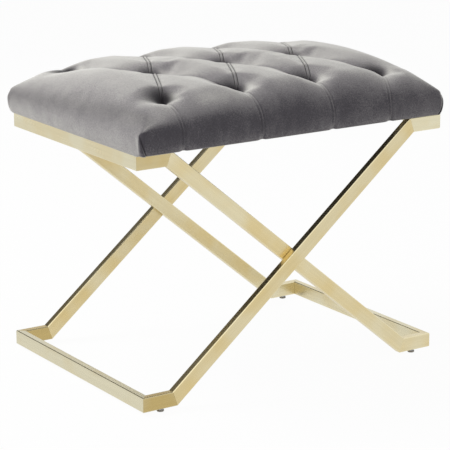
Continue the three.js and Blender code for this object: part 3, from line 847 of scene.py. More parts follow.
def from_pleat(pleat, x, y):
    """How far each point is along a pleat, 0 to 1, and its distance to the left or right of it."""
    (ax, ay), (bx, by) = pleat
    dx, dy = bx - ax, by - ay
    length = math.hypot(dx, dy)
    along = ((x - ax) * dx + (y - ay) * dy) / length**2
    held = np.clip(along, 0, 1)
    beyond = np.hypot(x - ax - held * dx, y - ay - held * dy)
    side = np.sign((x - ax) * dy - (y - ay) * dx)
    return held, beyond * np.where(side == 0, 1, side), length


def pit_share(tie, x, y):
    """0 at a tie and 1 at the rim of its pit."""
    dx, dy = x - tie[0], y - tie[1]
    away = np.hypot(dx, dy)
    safe = np.maximum(away, 1e-6)
    return away / (PIT_REACH + PIT_STRETCH * (dx / safe) ** 2 + PIT_LEAN * dy / safe)


def puff_share(x):
    """0 in line with a tie of the outer rows, and 1 half way between two."""
    return np.sin(np.pi * (x + tuft_x) / tuft_pitch) ** 2


lengths = [math.dist(*pleat) for pleat in between_ties + to_edges]
print("pleats from", round(min(lengths), 1), "to", round(max(lengths), 1), "mm long")

# %% Heights of the tufted top
# The quarter round is cut off at its foot, where it would stand upright
ROLL_START = 0.02
roll_floor = math.sqrt(1 - (1 - ROLL_START) ** 2)
# How sharp a valley is half way between two ties, how much sharper at a tie, and at the edge
SHARP_MIDDLE, SHARPER_AT_TIE, SHARP_EDGE = 0.25, 0.7, 0.2
# How much narrower a valley gets on its way to the edge
VALLEY_TAPER = 0.35
# The share of a pit's funnel that is round; the rest is a softer curve
ROUND_FUNNEL = 0.6
SOFTEN_ROUNDS = 4


def roll_over(distance, width, fullness):
    """A quarter round where fullness is 1; towards 0 the velvet falls off straighter."""
    share = ROLL_START + (1 - ROLL_START) * np.clip(distance / width, 0, 1)
    full = (np.sqrt(1 - (1 - share) ** 2) - roll_floor) / (1 - roll_floor)
    straight = np.sin(np.pi / 2 * np.clip(distance / width, 0, 1))
    return full * fullness + straight * (1 - fullness)


def valley_shape(share, sharp):
    """A valley's depth across it: a crease where sharp is 1, near the ties, else a soft trough."""
    left = 1 - np.clip(share, 0, 1)
    crease = 0.5 * (1 - np.sqrt(1 - left**2)) + 0.5 * left**2
    trough = smooth(left)
    return crease * sharp + trough * (1 - sharp)


def valley_depth(kind, full, share):
    shallow, power = VALLEYS[kind]
    return shallow + (full - shallow) * share**power


def top_heights(x, y):
    ends = roll_over(half_x - np.abs(x), np.where(x < 0, LEFT_ROLL, RIGHT_ROLL), END_FULLNESS)
    fullness = FRONT_FULLNESS + (1 - FRONT_FULLNESS) * smooth((x + half_x) / (FULL_ROUND_AFTER * half_x))
    front_roll = FRONT_ROLL - FRONT_PUFF * puff_share(x)
    sides = roll_over(half_y - np.abs(y), np.where(y < 0, front_roll, REAR_ROLL), fullness)
    # Fuller at the corners than the product of the two rolls
    edge = (np.maximum(ends, 1e-6) ** -2.0 + np.maximum(sides, 1e-6) ** -2.0 - 1) ** -0.5
    dome = CREST_HEIGHT - CROWN_LENGTH * (x / half_x) ** 2 - CROWN_DEPTH * (y / half_y) ** 2
    full = dome - PIT_FLOOR
    sunk = np.zeros_like(x)
    for pleat in between_ties:
        along, across, _ = from_pleat(pleat, x, y)
        ends = np.abs(2 * along - 1)
        depth = valley_depth("rising" if rises(pleat) else "falling", full, ends)
        sharp = SHARP_MIDDLE + SHARPER_AT_TIE * ends**2
        sunk = np.maximum(sunk, depth * valley_shape(np.abs(across) / VALLEY_SPREAD, sharp))
    for pleat in to_edges:
        along, across, _ = from_pleat(pleat, x, y)
        depth = valley_depth("to_edge", full, 1 - along)
        spread = VALLEY_SPREAD * (1 - VALLEY_TAPER * along)
        sharp = SHARP_EDGE + (1 - SHARP_EDGE) * (1 - along)
        sunk = np.maximum(sunk, depth * valley_shape(np.abs(across) / spread, sharp))
    for tie in ties:
        share = np.clip(pit_share(tie, x, y), 0, 1)
        funnel = ROUND_FUNNEL * (1 - np.sqrt(1 - (1 - share) ** 2)) + (1 - ROUND_FUNNEL) * (1 - share) ** 2
        sunk = np.maximum(sunk, full * funnel)
    return SIDE_HEIGHT + (dome - SIDE_HEIGHT - sunk) * edge


def soften(values, rounds):
    """Rounds off the ridges where one rule gives way to the next."""
    for _ in range(rounds):
        inner = values[1:-1, 1:-1]
        along_x, along_y = values[:-2, 1:-1] + values[2:, 1:-1], values[1:-1, :-2] + values[1:-1, 2:]
        values[1:-1, 1:-1] = 0.5 * inner + 0.5 * (along_x * 0.3 + along_y * 0.2)
    return values


heights = soften(top_heights(grid_x, grid_y), SOFTEN_ROUNDS)
print("top from", round(float(heights.min()), 1), "to", round(float(heights.max()), 1), "mm")

# %% [markdown]
# ## The cover's sides and hem
#
# Round the edge of the grid the cover goes on downwards: it swells out a little, tucks in at the
# hem, turns under the board and is stapled there. These rings share the columns of the grid's
# own border, so the cover is one skin. Its corners are round at the hem and tighter at the top.

# %% Rings of the side
SIDE_RINGS = 14
LOWEST_SIDE_RING = 3.0
# The height where the side swells most, and the share of the swell that is lost above and below
BULGE_AT, LOST_ABOVE, LOST_BELOW = 20.0, 0.45, 0.5
# Height over the hem and set-out of the last rings, which turn under the board
TURN_UNDER = [(2.2, 3.2), (0.8, 2.9), (0.2, 2.1), (0.0, 0.6), (0.0, -11.0), (0.0, -20.0), (0.0, -HEM_WIDTH)]
# From here on outwards the outline's points are moved to make room for the bulge
MOVED_FROM_X, MOVED_FROM_Y = 240.0, 170.0
# At the ends the hem hangs over the outer edge of the rail, but not near its corners. Only the
# rings that stand out and are low hang down.
HEM_SAG, SAG_OFF_CORNER, SAG_FADE = 2.0, 6.0, 8.0
SAG_SWELL, SAG_FULL_SWELL, SAG_HEIGHT = 0.6, 2.0, 6.0


def swell_at(height):
    above = SIDE_BULGE * (1 - LOST_ABOVE * ((height - BULGE_AT) / (SIDE_HEIGHT - BULGE_AT)) ** 2)
    below = SIDE_BULGE * (1 - LOST_BELOW * abs((BULGE_AT - height) / BULGE_AT) ** 2.4)
    return above if height > BULGE_AT else below


side_drop = SIDE_HEIGHT - LOWEST_SIDE_RING
ring_heights = [SIDE_HEIGHT - side_drop * k / SIDE_RINGS for k in range(1, SIDE_RINGS)]
rings = [(height, swell_at(height)) for height in ring_heights] + TURN_UNDER


def set_out(x, y, swell, corner):
    """Moves a point of the square outline outwards by the swell, and rounds the corners."""
    wide_x, wide_y = half_x + swell, half_y + swell
    x = x + np.sign(x) * swell * smooth((np.abs(x) - MOVED_FROM_X) / (half_x - MOVED_FROM_X))
    y = y + np.sign(y) * swell * smooth((np.abs(y) - MOVED_FROM_Y) / (half_y - MOVED_FROM_Y))
    u = np.clip((np.abs(x) - wide_x + corner) / corner, 0, 1)
    v = np.clip((np.abs(y) - wide_y + corner) / corner, 0, 1)
    new_x = np.minimum(np.abs(x), wide_x - corner) + corner * u * np.sqrt(1 - v**2 / 2)
    new_y = np.minimum(np.abs(y), wide_y - corner) + corner * v * np.sqrt(1 - u**2 / 2)
    return np.sign(x) * new_x, np.sign(y) * new_y


def corner_at(height):
    return HEM_CORNER + (RIM_CORNER - HEM_CORNER) * height / SIDE_HEIGHT


def border_of(grid):
    """A grid's outermost points, once round."""
    return np.concatenate((grid[:-1, 0], grid[-1, :-1], grid[:0:-1, -1], grid[0, :0:-1]))


count_x, count_y = grid_x.shape
top_count = count_x * count_y
numbers = np.arange(top_count).reshape(count_x, count_y)
border = border_of(numbers)
flat_x, flat_y = grid_x.ravel(), grid_y.ravel()
border_x, border_y = flat_x[border], flat_y[border]


def hem_sag(height, swell):
    off_corner = smooth((half_y - SAG_OFF_CORNER - np.abs(border_y)) / SAG_FADE)
    at_end = np.where(np.abs(border_x) > half_x - 1e-6, off_corner, 0)
    stands_out = smooth((swell - SAG_SWELL) / (SAG_FULL_SWELL - SAG_SWELL))
    return HEM_SAG * at_end * stands_out * (1 - smooth(height / SAG_HEIGHT))


def cover_form():
    """The whole outer skin: first the top, then ring after ring of the side and the hem."""
    top_x, top_y = set_out(flat_x, flat_y, RIM_SWELL, RIM_CORNER)
    places = [np.stack((top_x, top_y, heights.ravel()), axis=1)]
    for height, swell in rings:
        x, y = set_out(border_x, border_y, swell, corner_at(height))
        places.append(np.stack((x, y, height - hem_sag(height, swell)), axis=1))
    return np.concatenate(places)


places = cover_form()
print("cover points:", len(places), "columns:", len(border))

# %% Faces of the skin


def top_triangles():
    """Two triangles a square, split along the pleat that runs nearest to it."""
    a, b = numbers[:-1, :-1].ravel(), numbers[1:, :-1].ravel()
    c, d = numbers[1:, 1:].ravel(), numbers[:-1, 1:].ravel()
    x = (flat_x[a] + flat_x[c]) / 2
    y = (flat_y[a] + flat_y[c]) / 2
    nearest = np.full(x.shape, np.inf)
    rising = np.ones(x.shape, bool)
    for pleat in between_ties + to_edges:
        away = np.abs(from_pleat(pleat, x, y)[1])
        closer = away < nearest
        nearest = np.where(closer, away, nearest)
        rising = np.where(closer, rises(pleat), rising)
    first = np.where(rising[:, None], np.stack((a, b, c), 1), np.stack((a, b, d), 1))
    second = np.where(rising[:, None], np.stack((a, c, d), 1), np.stack((b, c, d), 1))
    return np.concatenate((first, second))


def strip(upper, lower):
    """Triangles between two rings of equal count."""
    next_upper, next_lower = np.roll(upper, -1), np.roll(lower, -1)
    halves = np.stack((upper, lower, next_lower), 1), np.stack((upper, next_lower, next_upper), 1)
    return np.concatenate(halves)


def side_triangles():
    columns = len(border)
    rows = [border] + [top_count + k * columns + np.arange(columns) for k in range(len(rings))]
    return np.concatenate([strip(upper, lower) for upper, lower in zip(rows, rows[1:])]), rows


side_faces, side_rows = side_triangles()
skin_faces = np.concatenate((top_triangles(), side_faces))


def skin_normals(places):
    a, b, c = (places[skin_faces[:, k]] for k in range(3))
    faces = np.cross(b - a, c - a)
    normals = np.zeros_like(places)
    for k in range(3):
        for axis in range(3):
            normals[:, axis] += np.bincount(skin_faces[:, k], faces[:, axis], len(places))
    return normals / np.maximum(np.linalg.norm(normals, axis=1, keepdims=True), 1e-9)


print("skin triangles:", len(skin_faces))

# %% [markdown]
# ## Pleats, creases and corner tucks
#
# The spare cloth in a pleat shows as a narrow flap between two sharp creases. On the front and
# back it runs on faintly down to the hem, where it puckers the edge. At each corner the cloth of
# the end is folded round and laid over that of the long side. Painted shade goes with them: a mask
# that darkens the velvet's colour in the creases, in the pits, under the hem, in a band along each
# end and beside each corner flap's edge.

# %% Fine folds
FLAP_HALF_WIDTH = 2.5
FLAP_RISE, SHARP_CREASE, FAINT_CREASE = 1.2, 2.2, 1.6
# The spread of the rise, of the creases and of their painted shade, as shares of the half width
RISE_SPREAD, CREASE_SPREAD, SHADE_SPREAD = 0.66, 0.34, 0.42
FOLD_AROUND = 9.0
# A flap is narrow at a tie, and widens and comes up over some millimetres
NARROW, WIDENS_OVER, COMES_UP_OVER = 0.45, 24.0, 8.0
# One that falls to the right fades away from its ties: from where, over what length, how much
FADES_FROM, FADES_OVER, FADES_BY = 18.0, 40.0, 0.85
# One that runs to the edge is fainter: its widening, its share at the tie, what it loses, how soon
EDGE_WIDENS_BY, EDGE_WIDENS_OVER, EDGE_SHOWN, EDGE_LOSS, EDGE_LOSS_RATE = 0.65, 30.0, 0.38, 0.6, 1.3
# How dark the painted shade in the creases is for the share that shows: between ties, to the edge and on the
# side
CREASE_SHADE, EDGE_CREASE_SHADE, SIDE_CREASE_SHADE = 0.84, 1.5, 1.8
# On the side: its width, its share at the rim, what it loses below, and its height for that share
SIDE_FLAP_WIDTH, SIDE_SHOWN, SIDE_LOSS, SIDE_RISE = FLAP_HALF_WIDTH * 1.1, 0.17, 0.04, 0.4
PUCKER_DEPTH, PUCKER_WIDTH, PUCKER_HEIGHT = 1.6, 5.0, 14.0
# Where the end's shoulder meets its side, a band of painted shade makes the velvet a little darker
END_BAND_SHADE, END_SHADE_AT, END_SHADE_SLANT, END_SHADE_SPREAD = 0.34, 45.0, 0.06, 17.0
END_SHADE_FROM_END, END_SHADE_GROWS, END_SHADE_CORNER = 45.0, 30.0, 8.0
HEM_SHADE, HEM_SHADE_HEIGHT = 0.2, 2.5
# The painted shade of a pit lies behind its tie, and is shorter or longer than the pit to the right, behind
# and in front. It is full up to a share of the pit, then fades.
PIT_SHADE_BEHIND, SHADE_RIGHT, SHADE_BEHIND, SHADE_IN_FRONT = 3.0, 1.7, 0.68, 1.3
PIT_SHADE_FULL, PIT_SHADE_FADE = 0.12, 0.8
# The painted shade of the front pits lies a little beside their ties, one way or the other
PIT_SHADE_SHIFT = dict(zip(ties[:4], (5.0, -4.0, -6.0, -4.0)))


def flap_profile(across, width):
    flap = FLAP_RISE * np.exp(-((across / (RISE_SPREAD * width)) ** 2))
    sharp = SHARP_CREASE * np.exp(-(((across - width) / (CREASE_SPREAD * width)) ** 2))
    faint = FAINT_CREASE * np.exp(-(((across + width) / (CREASE_SPREAD * width)) ** 2))
    return flap - sharp - faint


def crease_shade_mask(across, width):
    """Painted shade, 1 at the bottom of a flap's two creases, else 0."""
    return np.exp(-(((np.abs(across) - width) / (SHADE_SPREAD * width)) ** 2))


def add_painted_shade(painted_crease_shade, rows, depth):
    painted_crease_shade[rows] = np.maximum(painted_crease_shade[rows], depth)


def folds_and_painted_shade():
    folds, painted_crease_shade = np.zeros(len(places)), np.zeros(len(places))
    top = slice(0, top_count)
    for pleat in between_ties:
        along, across, length = from_pleat(pleat, flat_x, flat_y)
        to_tie = np.minimum(along, 1 - along) * length
        near = (np.abs(across) < FOLD_AROUND) & (along > 0) & (along < 1)
        width = FLAP_HALF_WIDTH * (NARROW + (1 - NARROW) * smooth(to_tie / WIDENS_OVER))
        shown = smooth(to_tie / COMES_UP_OVER)
        if not rises(pleat):
            shown = shown * (1 - FADES_BY * smooth((to_tie - FADES_FROM) / FADES_OVER))
        folds[top] += np.where(near, flap_profile(across, width) * shown, 0)
        add_painted_shade(painted_crease_shade, top, np.where(near, crease_shade_mask(across, width) * shown * CREASE_SHADE, 0))
    for pleat in to_edges:
        bx, by = pleat[1]
        along, across, length = from_pleat(pleat, flat_x, flat_y)
        near = (np.abs(across) < FOLD_AROUND) & (along > 0)
        width = FLAP_HALF_WIDTH * (NARROW + EDGE_WIDENS_BY * smooth(along * length / EDGE_WIDENS_OVER))
        left = 1 - EDGE_LOSS * smooth(along * EDGE_LOSS_RATE)
        shown = EDGE_SHOWN * smooth(along * length / COMES_UP_OVER) * left
        folds[top] += np.where(near, flap_profile(np.sign(by) * across, width) * shown, 0)
        add_painted_shade(painted_crease_shade, top, np.where(near, crease_shade_mask(across, width) * shown * EDGE_CREASE_SHADE, 0))
        on_edge = np.abs(border_y - by) < 1e-6
        for row, (height, _) in zip(side_rows[1:], rings):
            aside = (border_x - bx) * np.sign(-by)
            faded = SIDE_SHOWN - SIDE_LOSS * smooth((SIDE_HEIGHT - height) / SIDE_HEIGHT)
            near = on_edge & (np.abs(aside) < FOLD_AROUND)
            folds[row] += np.where(near, flap_profile(aside, SIDE_FLAP_WIDTH) * faded * SIDE_RISE, 0)
            dip = PUCKER_DEPTH * np.exp(-((aside / PUCKER_WIDTH) ** 2)) * (1 - smooth(height / PUCKER_HEIGHT))
            folds[row] -= np.where(on_edge, dip, 0)
            dark = crease_shade_mask(aside, SIDE_FLAP_WIDTH) * faded * SIDE_CREASE_SHADE
            add_painted_shade(painted_crease_shade, row, np.where(near, dark, 0))
    for row, (height, _) in zip(side_rows[1:], rings):
        add_painted_shade(painted_crease_shade, row, HEM_SHADE * (1 - smooth(height / HEM_SHADE_HEIGHT)))
    # Painted shade in a band along each end's side
    band = np.exp(-(((places[:, 2] - END_SHADE_AT + END_SHADE_SLANT * places[:, 1]) / END_SHADE_SPREAD) ** 2))
    band *= smooth((np.abs(places[:, 0]) - half_x + END_SHADE_FROM_END) / END_SHADE_GROWS)
    band *= smooth((half_y + END_SHADE_CORNER / 2 - np.abs(places[:, 1])) / END_SHADE_CORNER)
    painted_crease_shade = np.maximum(painted_crease_shade, END_BAND_SHADE * band)
    for tie in ties:
        # The painted shade of a pit reaches up its back wall and stops short on its lit right wall
        aside, behind = flat_x - tie[0] - PIT_SHADE_SHIFT.get(tie, 0.0), flat_y - tie[1] - PIT_SHADE_BEHIND
        aside *= np.where(aside > 0, SHADE_RIGHT, 1.0)
        behind *= np.where(behind > 0, SHADE_BEHIND, SHADE_IN_FRONT)
        share = pit_share(tie, tie[0] + aside, tie[1] + behind)
        add_painted_shade(painted_crease_shade, top, 1 - smooth((share - PIT_SHADE_FULL) / PIT_SHADE_FADE))
    return folds, painted_crease_shade


folds, painted_crease_shade = folds_and_painted_shade()
print("folds from", round(float(folds.min()), 1), "to", round(float(folds.max()), 1), "mm")

# %% Corner tucks
TUCK_REACH, TUCK_PAST, TUCK_DEPTH, TUCK_DIP = 13.0, 3.0, 1.1, 0.9
# Half of the width over which the flap's edge falls off
TUCK_EDGE = 1.2
# The flap's edge slants: how far round the corner it lies at the rim and at the hem
TUCK_AT_RIM, TUCK_AT_HEM = -4.0, 6.0
# The painted shade beside the flap's edge: how dark, how far past the edge and how wide
TUCK_SHADE, TUCK_SHADE_PAST, TUCK_SHADE_WIDTH = 0.8, 1.2, 1.3
# How much of a tuck shows under the board, and over what height it comes in at the rim
SHOWN_UNDER_BOARD, TUCK_FADE = 0.4, 14.0


def tuck_corners(places, folds, painted_crease_shade):
    """A flap from each end, laid over the long side, that stops on a sharp vertical edge with painted shade
    beside it.
    """
    rim = places[side_rows[1]]
    steps = np.linalg.norm(np.roll(rim, -1, 0) - rim, axis=1)
    run = np.concatenate(([0], np.cumsum(steps)[:-1]))
    total = steps.sum()
    corner_columns = (0, count_x - 1, count_x + count_y - 2, 2 * count_x + count_y - 3)
    towards_long = (1, -1, 1, -1)
    for column, sense in zip(corner_columns, towards_long):
        around = ((run - run[column] + total / 2) % total - total / 2) * sense
        for row, (height, _) in zip(side_rows[1:], rings):
            aside = around - TUCK_AT_HEM - (TUCK_AT_RIM - TUCK_AT_HEM) * height / SIDE_HEIGHT
            rise = TUCK_DEPTH * smooth((aside + TUCK_REACH) / TUCK_REACH)
            dip = -TUCK_DIP * TUCK_DEPTH * (1 - smooth(aside / TUCK_PAST))
            past = smooth((aside + TUCK_EDGE) / (2 * TUCK_EDGE))
            step = np.where(aside < -TUCK_REACH, 0, rise * (1 - past) + dip * past)
            shown = smooth((SIDE_HEIGHT + 3 - height) / TUCK_FADE) if height > 0 else SHOWN_UNDER_BOARD
            folds[row] += step * shown
            # A line of painted shade just past the flap's edge
            line = np.exp(-(((aside - TUCK_SHADE_PAST) / TUCK_SHADE_WIDTH) ** 2))
            add_painted_shade(painted_crease_shade, row, TUCK_SHADE * line * shown)
    return folds, painted_crease_shade


folds, painted_crease_shade = tuck_corners(places, folds, painted_crease_shade)
print("folds with corner tucks from", round(float(folds.min()), 1), "to", round(float(folds.max()), 1), "mm")

# %% [markdown]
# ## The stuffing pushes
#
# A rule gives a form that is too even. In the real seat the foam pushes from inside, so the
# velvet swells until it is taut, and small drags and dimples start at the ties and pleats. Cloth
# simulation finds them: a coarse copy of the skin, a little too large for its form, is held at
# the ties and the hem, less firmly along the pleats, and blown up. How far it moved is then
# carried over to the fine skin, capped so that the form stays true.

# %% Inflate a coarse copy
COARSE = 2
SIM_FRAMES = 22
MOST_PUSH = 5.0
# The share of the push that is left where the velvet is drawn tight over the sides, how far in
# from the edge it starts to get free, and over what length it does
TAUT_SIDE, TAUT_EDGE, FREE_AFTER = 0.12, 6.0, 44.0
# How firmly a point is held: fully near a tie and at the hem, half along a pleat
TIE_HOLD, TIE_HOLD_FADE = 3.0, 6.0
PLEAT_HOLD, PLEAT_HOLD_FADE = 0.5, 5.0
HELD_BELOW = 3.5
HOLD_LEVELS = 20
# The cloth is cut 0.8% larger than its form
VELVET_CLOTH = {
    "quality": 6,
    "mass": 0.25,
    "tension_stiffness": 12.0,
    "compression_stiffness": 12.0,
    "shear_stiffness": 4.0,
    "bending_stiffness": 4.0,
    "use_pressure": True,
    "uniform_pressure_force": 3.0,
    "shrink_min": -0.008,
    "vertex_group_mass": "held",
}


def coarse_skin():
    top = numbers[::COARSE, ::COARSE]
    rows = [row[::COARSE] for row in side_rows[COARSE : SIDE_RINGS + 1 : COARSE]]
    used = np.concatenate([top.ravel()] + rows)
    index = np.full(len(places), -1)
    index[used] = np.arange(len(used))
    grid = index[top]
    quads = [np.stack((grid[:-1, :-1], grid[1:, :-1], grid[1:, 1:], grid[:-1, 1:]), -1).reshape(-1, 4)]
    lines = [index[border[::COARSE]]] + [index[row] for row in rows]
    for upper, lower in zip(lines, lines[1:]):
        quads.append(np.stack((upper, lower, np.roll(lower, -1), np.roll(upper, -1)), 1))
    return used, np.concatenate(quads), lines


def hold_weights(used):
    x, y = places[used, 0], places[used, 1]
    held = np.zeros(len(used))
    on_top = used < top_count
    for pleat in between_ties + to_edges:
        away = np.abs(from_pleat(pleat, x, y)[1])
        held = np.maximum(held, np.where(on_top, PLEAT_HOLD * (1 - smooth(away / PLEAT_HOLD_FADE)), 0))
    for tie in ties:
        away = np.hypot(x - tie[0], y - tie[1])
        held = np.maximum(held, np.where(on_top, 1 - smooth((away - TIE_HOLD) / TIE_HOLD_FADE), 0))
    held[places[used, 2] < HELD_BELOW] = 1.0
    return held


def inflate(points, quads, held):
    mesh = bpy.data.meshes.new("coarse_cover")
    mesh.from_pydata(points.tolist(), [], quads.tolist())
    blown = add_object("coarse_cover", mesh)
    group = blown.vertex_groups.new(name="held")
    for level in range(1, HOLD_LEVELS + 1):
        chosen = np.flatnonzero(np.round(held * HOLD_LEVELS) == level)
        group.add(chosen.tolist(), level / HOLD_LEVELS, "REPLACE")
    modifier = blown.modifiers.new("velvet", "CLOTH")
    set_all(modifier.settings, **VELVET_CLOTH)
    modifier.settings.effector_weights.gravity = 0.0
    modifier.collision_settings.use_collision = False
    set_all(modifier.point_cache, frame_start=1, frame_end=SIM_FRAMES)
    for number in range(1, SIM_FRAMES + 1):
        bpy.context.scene.frame_set(number)
    graph = bpy.context.evaluated_depsgraph_get()
    result = blown.evaluated_get(graph).data
    moved = np.empty(len(result.vertices) * 3)
    result.vertices.foreach_get("co", moved)
    bpy.context.scene.frame_set(1)
    bpy.data.objects.remove(blown)
    return moved.reshape(-1, 3)


print("cloth simulation:", f"{SIM_FRAMES} frames")

# %% Carry the push over to the fine skin
# A highlight is painted on the long sides' shoulders, most at the left, where the light comes from,
# and on the lit wall to the right of each pit. The steepness is in degrees from level.
HIGHLIGHT_SHOULDER, HIGHLIGHT_STEEPNESS, HIGHLIGHT_SPREAD, HIGHLIGHT_PIT = 0.26, 53.0, 13.0, 0.28
# Where on the length the shoulder's painted highlight starts and over what length to the left it grows
HIGHLIGHT_FROM_X, HIGHLIGHT_OVER = 60.0, 230.0
# Only what faces sideways takes that painted highlight, near the long edge, and least in line with the ties
SIDEWAYS_FROM, SIDEWAYS_OVER, NEAR_EDGE, NEAR_OVER, LEAST_TONE = 0.5, 0.4, 64.0, 24.0, 0.3
# Where a pit's lit wall is, measured from its tie, and how far its painted highlight spreads
LIT_WALL_RIGHT, LIT_WALL_FRONT, LIT_SPREAD_X, LIT_SPREAD_Y = 19.0, 1.0, 8.0, 13.0
# How far up the surface has to face there
UPWARDS_FROM, UPWARDS_OVER = 0.2, 0.3


def between(values, axis, round_trip=False):
    """Doubles the samples along an axis; the new ones lie on a smooth curve through four old."""
    values = np.moveaxis(values, axis, 0)
    if round_trip:
        wide = np.concatenate((values[-1:], values, values[:2]))
    else:
        wide = np.concatenate((values[:1], values, values[-1:]))
    middle = (9 * (wide[1:-2] + wide[2:-1]) - wide[:-3] - wide[3:]) / 16
    full = np.empty((len(values) + len(middle),) + values.shape[1:])
    full[0::2] = values
    full[1::2] = middle
    return np.moveaxis(full, 0, axis)


def push_of_stuffing():
    used, quads, lines = coarse_skin()
    before = places[used] * MM
    push = (inflate(before, quads, hold_weights(used)) - before) / MM
    far = np.linalg.norm(push, axis=1, keepdims=True)
    push *= MOST_PUSH * np.tanh(far / MOST_PUSH) / np.maximum(far, 1e-6)
    full = np.zeros_like(places)
    from_edge = np.minimum(half_x - np.abs(grid_x), half_y - np.abs(grid_y))[::COARSE, ::COARSE]
    top = push[: from_edge.size].reshape(*from_edge.shape, 3)
    free = TAUT_SIDE + (1 - TAUT_SIDE) * smooth((from_edge - TAUT_EDGE) / FREE_AFTER)
    top = soften(top * free[..., None], rounds=3)
    push *= TAUT_SIDE
    full[:top_count] = between(between(top, 0), 1).reshape(-1, 3)
    for k, line in enumerate(lines[1:], start=1):
        above, half_way, here = side_rows[COARSE * k - 2 : COARSE * k + 1]
        full[here] = between(push[line], 0, round_trip=True)
        full[half_way] = (full[here] + full[above]) / 2
    print("stuffing moved the skin by up to", round(float(far.max()), 1), "mm")
    return full


# The painted highlight on the shoulders and on the pits' lit walls
def swept_pile(skin):
    normals = skin_normals(skin)
    x, y = skin[:, 0], skin[:, 1]
    level = np.maximum(np.hypot(normals[:, 0], normals[:, 1]), 1e-6)
    steepness = np.degrees(np.arctan2(normals[:, 2], level))
    sideways = smooth((np.abs(normals[:, 1]) / level - SIDEWAYS_FROM) / SIDEWAYS_OVER)
    sideways *= smooth((np.abs(y) - half_y + NEAR_EDGE) / NEAR_OVER)
    puff = LEAST_TONE + (1 - LEAST_TONE) * puff_share(x)
    steep_enough = np.exp(-(((steepness - HIGHLIGHT_STEEPNESS) / HIGHLIGHT_SPREAD) ** 2))
    shoulder = sideways * puff * smooth((HIGHLIGHT_FROM_X - x) / HIGHLIGHT_OVER) * steep_enough
    pits = np.zeros(len(skin))
    for tie in ties:
        right, behind = x - tie[0] - LIT_WALL_RIGHT, y - tie[1] + LIT_WALL_FRONT
        pits = np.maximum(pits, np.exp(-((right / LIT_SPREAD_X) ** 2) - (behind / LIT_SPREAD_Y) ** 2))
    upwards = smooth((normals[:, 2] - UPWARDS_FROM) / UPWARDS_OVER)
    return HIGHLIGHT_SHOULDER * shoulder + HIGHLIGHT_PIT * pits * upwards


stuffed = places + push_of_stuffing()
fine_places = stuffed + skin_normals(stuffed) * folds[:, None]
print("cover box:", fine_places.min(0).round(1), fine_places.max(0).round(1))
swept = swept_pile(fine_places)
print("swept pile up to", round(float(swept.max()), 2))

# %% [markdown]
# ## Closing the skin
#
# Velvet has a thickness, and every piece here is a closed form. The inside is never seen, so it
# is coarse: it turns up at the hem's edge, climbs just within the side, and ends in a top with
# few faces that stays a little under the outer one.

# %% Inner skin
INNER_STEP = 7
INNER_RINGS = [(1.7, -HEM_WIDTH), (1.7, -2.6), (4.5, 0.0), (18.0, 3.4), (SIDE_HEIGHT - 5.0, 1.8)]
# How far the inside stays within the outer top's outline and under its surface
INNER_INSET, INNER_DROP = 2.0, 2.2
LEAST_CORNER = 2.0


def sparse(count):
    """Grid numbers from one edge to the other, about INNER_STEP apart."""
    return np.linspace(0, count - 1, round((count - 1) / INNER_STEP) + 1).round().astype(int)


inner = np.ix_(sparse(count_x), sparse(count_y))
inner_x, inner_y, inner_numbers = grid_x[inner].ravel(), grid_y[inner].ravel(), numbers[inner].ravel()
inner_order = np.arange(inner_x.size).reshape(grid_x[inner].shape)
inner_edge = border_of(inner_order)


def lowest_around(values):
    """The lowest value within a few grid steps, so that a coarse skin stays under a fine one."""
    low = values.copy()
    for axis in (0, 1):
        source = low.copy()
        for step in range(1, INNER_STEP + 1):
            ahead, back = np.roll(source, step, axis), np.roll(source, -step, axis)
            low = np.minimum(low, np.minimum(ahead, back))
    return low


def level_edge(grid, height):
    grid[0, :] = grid[-1, :] = grid[:, 0] = grid[:, -1] = height


def coarse_top(source, inset, drop):
    """Points and triangles of a top under the given skin."""
    swell = RIM_SWELL - inset
    x, y = set_out(inner_x, inner_y, swell, RIM_CORNER + swell)
    height = source[:top_count, 2].reshape(count_x, count_y).copy()
    level_edge(height, SIDE_HEIGHT)
    low = lowest_around(height)[inner] - drop
    level_edge(low, SIDE_HEIGHT - drop)
    a, b = inner_order[:-1, :-1].ravel(), inner_order[1:, :-1].ravel()
    c, d = inner_order[1:, 1:].ravel(), inner_order[:-1, 1:].ravel()
    faces = np.concatenate((np.stack((a, b, c), 1), np.stack((a, c, d), 1)))
    return np.stack((x, y, low.ravel()), 1), faces


def add_rings(points, faces, last, start, sizes, outline):
    """Adds ring after ring of an outline, each joined to the one before it."""
    for height, swell in sizes:
        x, y = set_out(*outline, swell, max(corner_at(height) + swell, LEAST_CORNER))
        ring = start + np.arange(len(x))
        points.append(np.stack((x, y, np.full_like(x, height)), 1))
        faces.append(strip(last, ring))
        last, start = ring, start + len(x)
    return last, start


def close_skin(outer):
    points, faces = [outer], [skin_faces]
    last, start = add_rings(points, faces, side_rows[-1], len(outer), INNER_RINGS, (border_x, border_y))
    top, top_faces = coarse_top(outer, INNER_INSET, INNER_DROP)
    points.append(top)
    faces.append(top_faces[:, ::-1] + start)
    # The last ring has many columns to each of the coarse top's, so it is joined in fans
    column_of = np.full(len(outer), -1)
    column_of[border] = np.arange(len(border))
    stops = column_of[inner_numbers[inner_edge]]
    heres = inner_edge + start
    joints = []
    for first, stop, here, there in zip(stops, np.roll(stops, -1), heres, np.roll(heres, -1)):
        columns = last[(first + np.arange((stop - first) % len(border) + 1)) % len(border)]
        middle = (len(columns) - 1) // 2
        for step, (a, b) in enumerate(zip(columns, columns[1:])):
            joints.append((a, here if step < middle else there, b))
        joints.append((columns[middle], here, there))
    faces.append(np.array(joints))
    return np.concatenate(points), np.concatenate(faces)


print("inner top:", inner_order.shape)

# %% Cover and foam
FOAM_INSET, FOAM_DROP = 4.0, 4.5
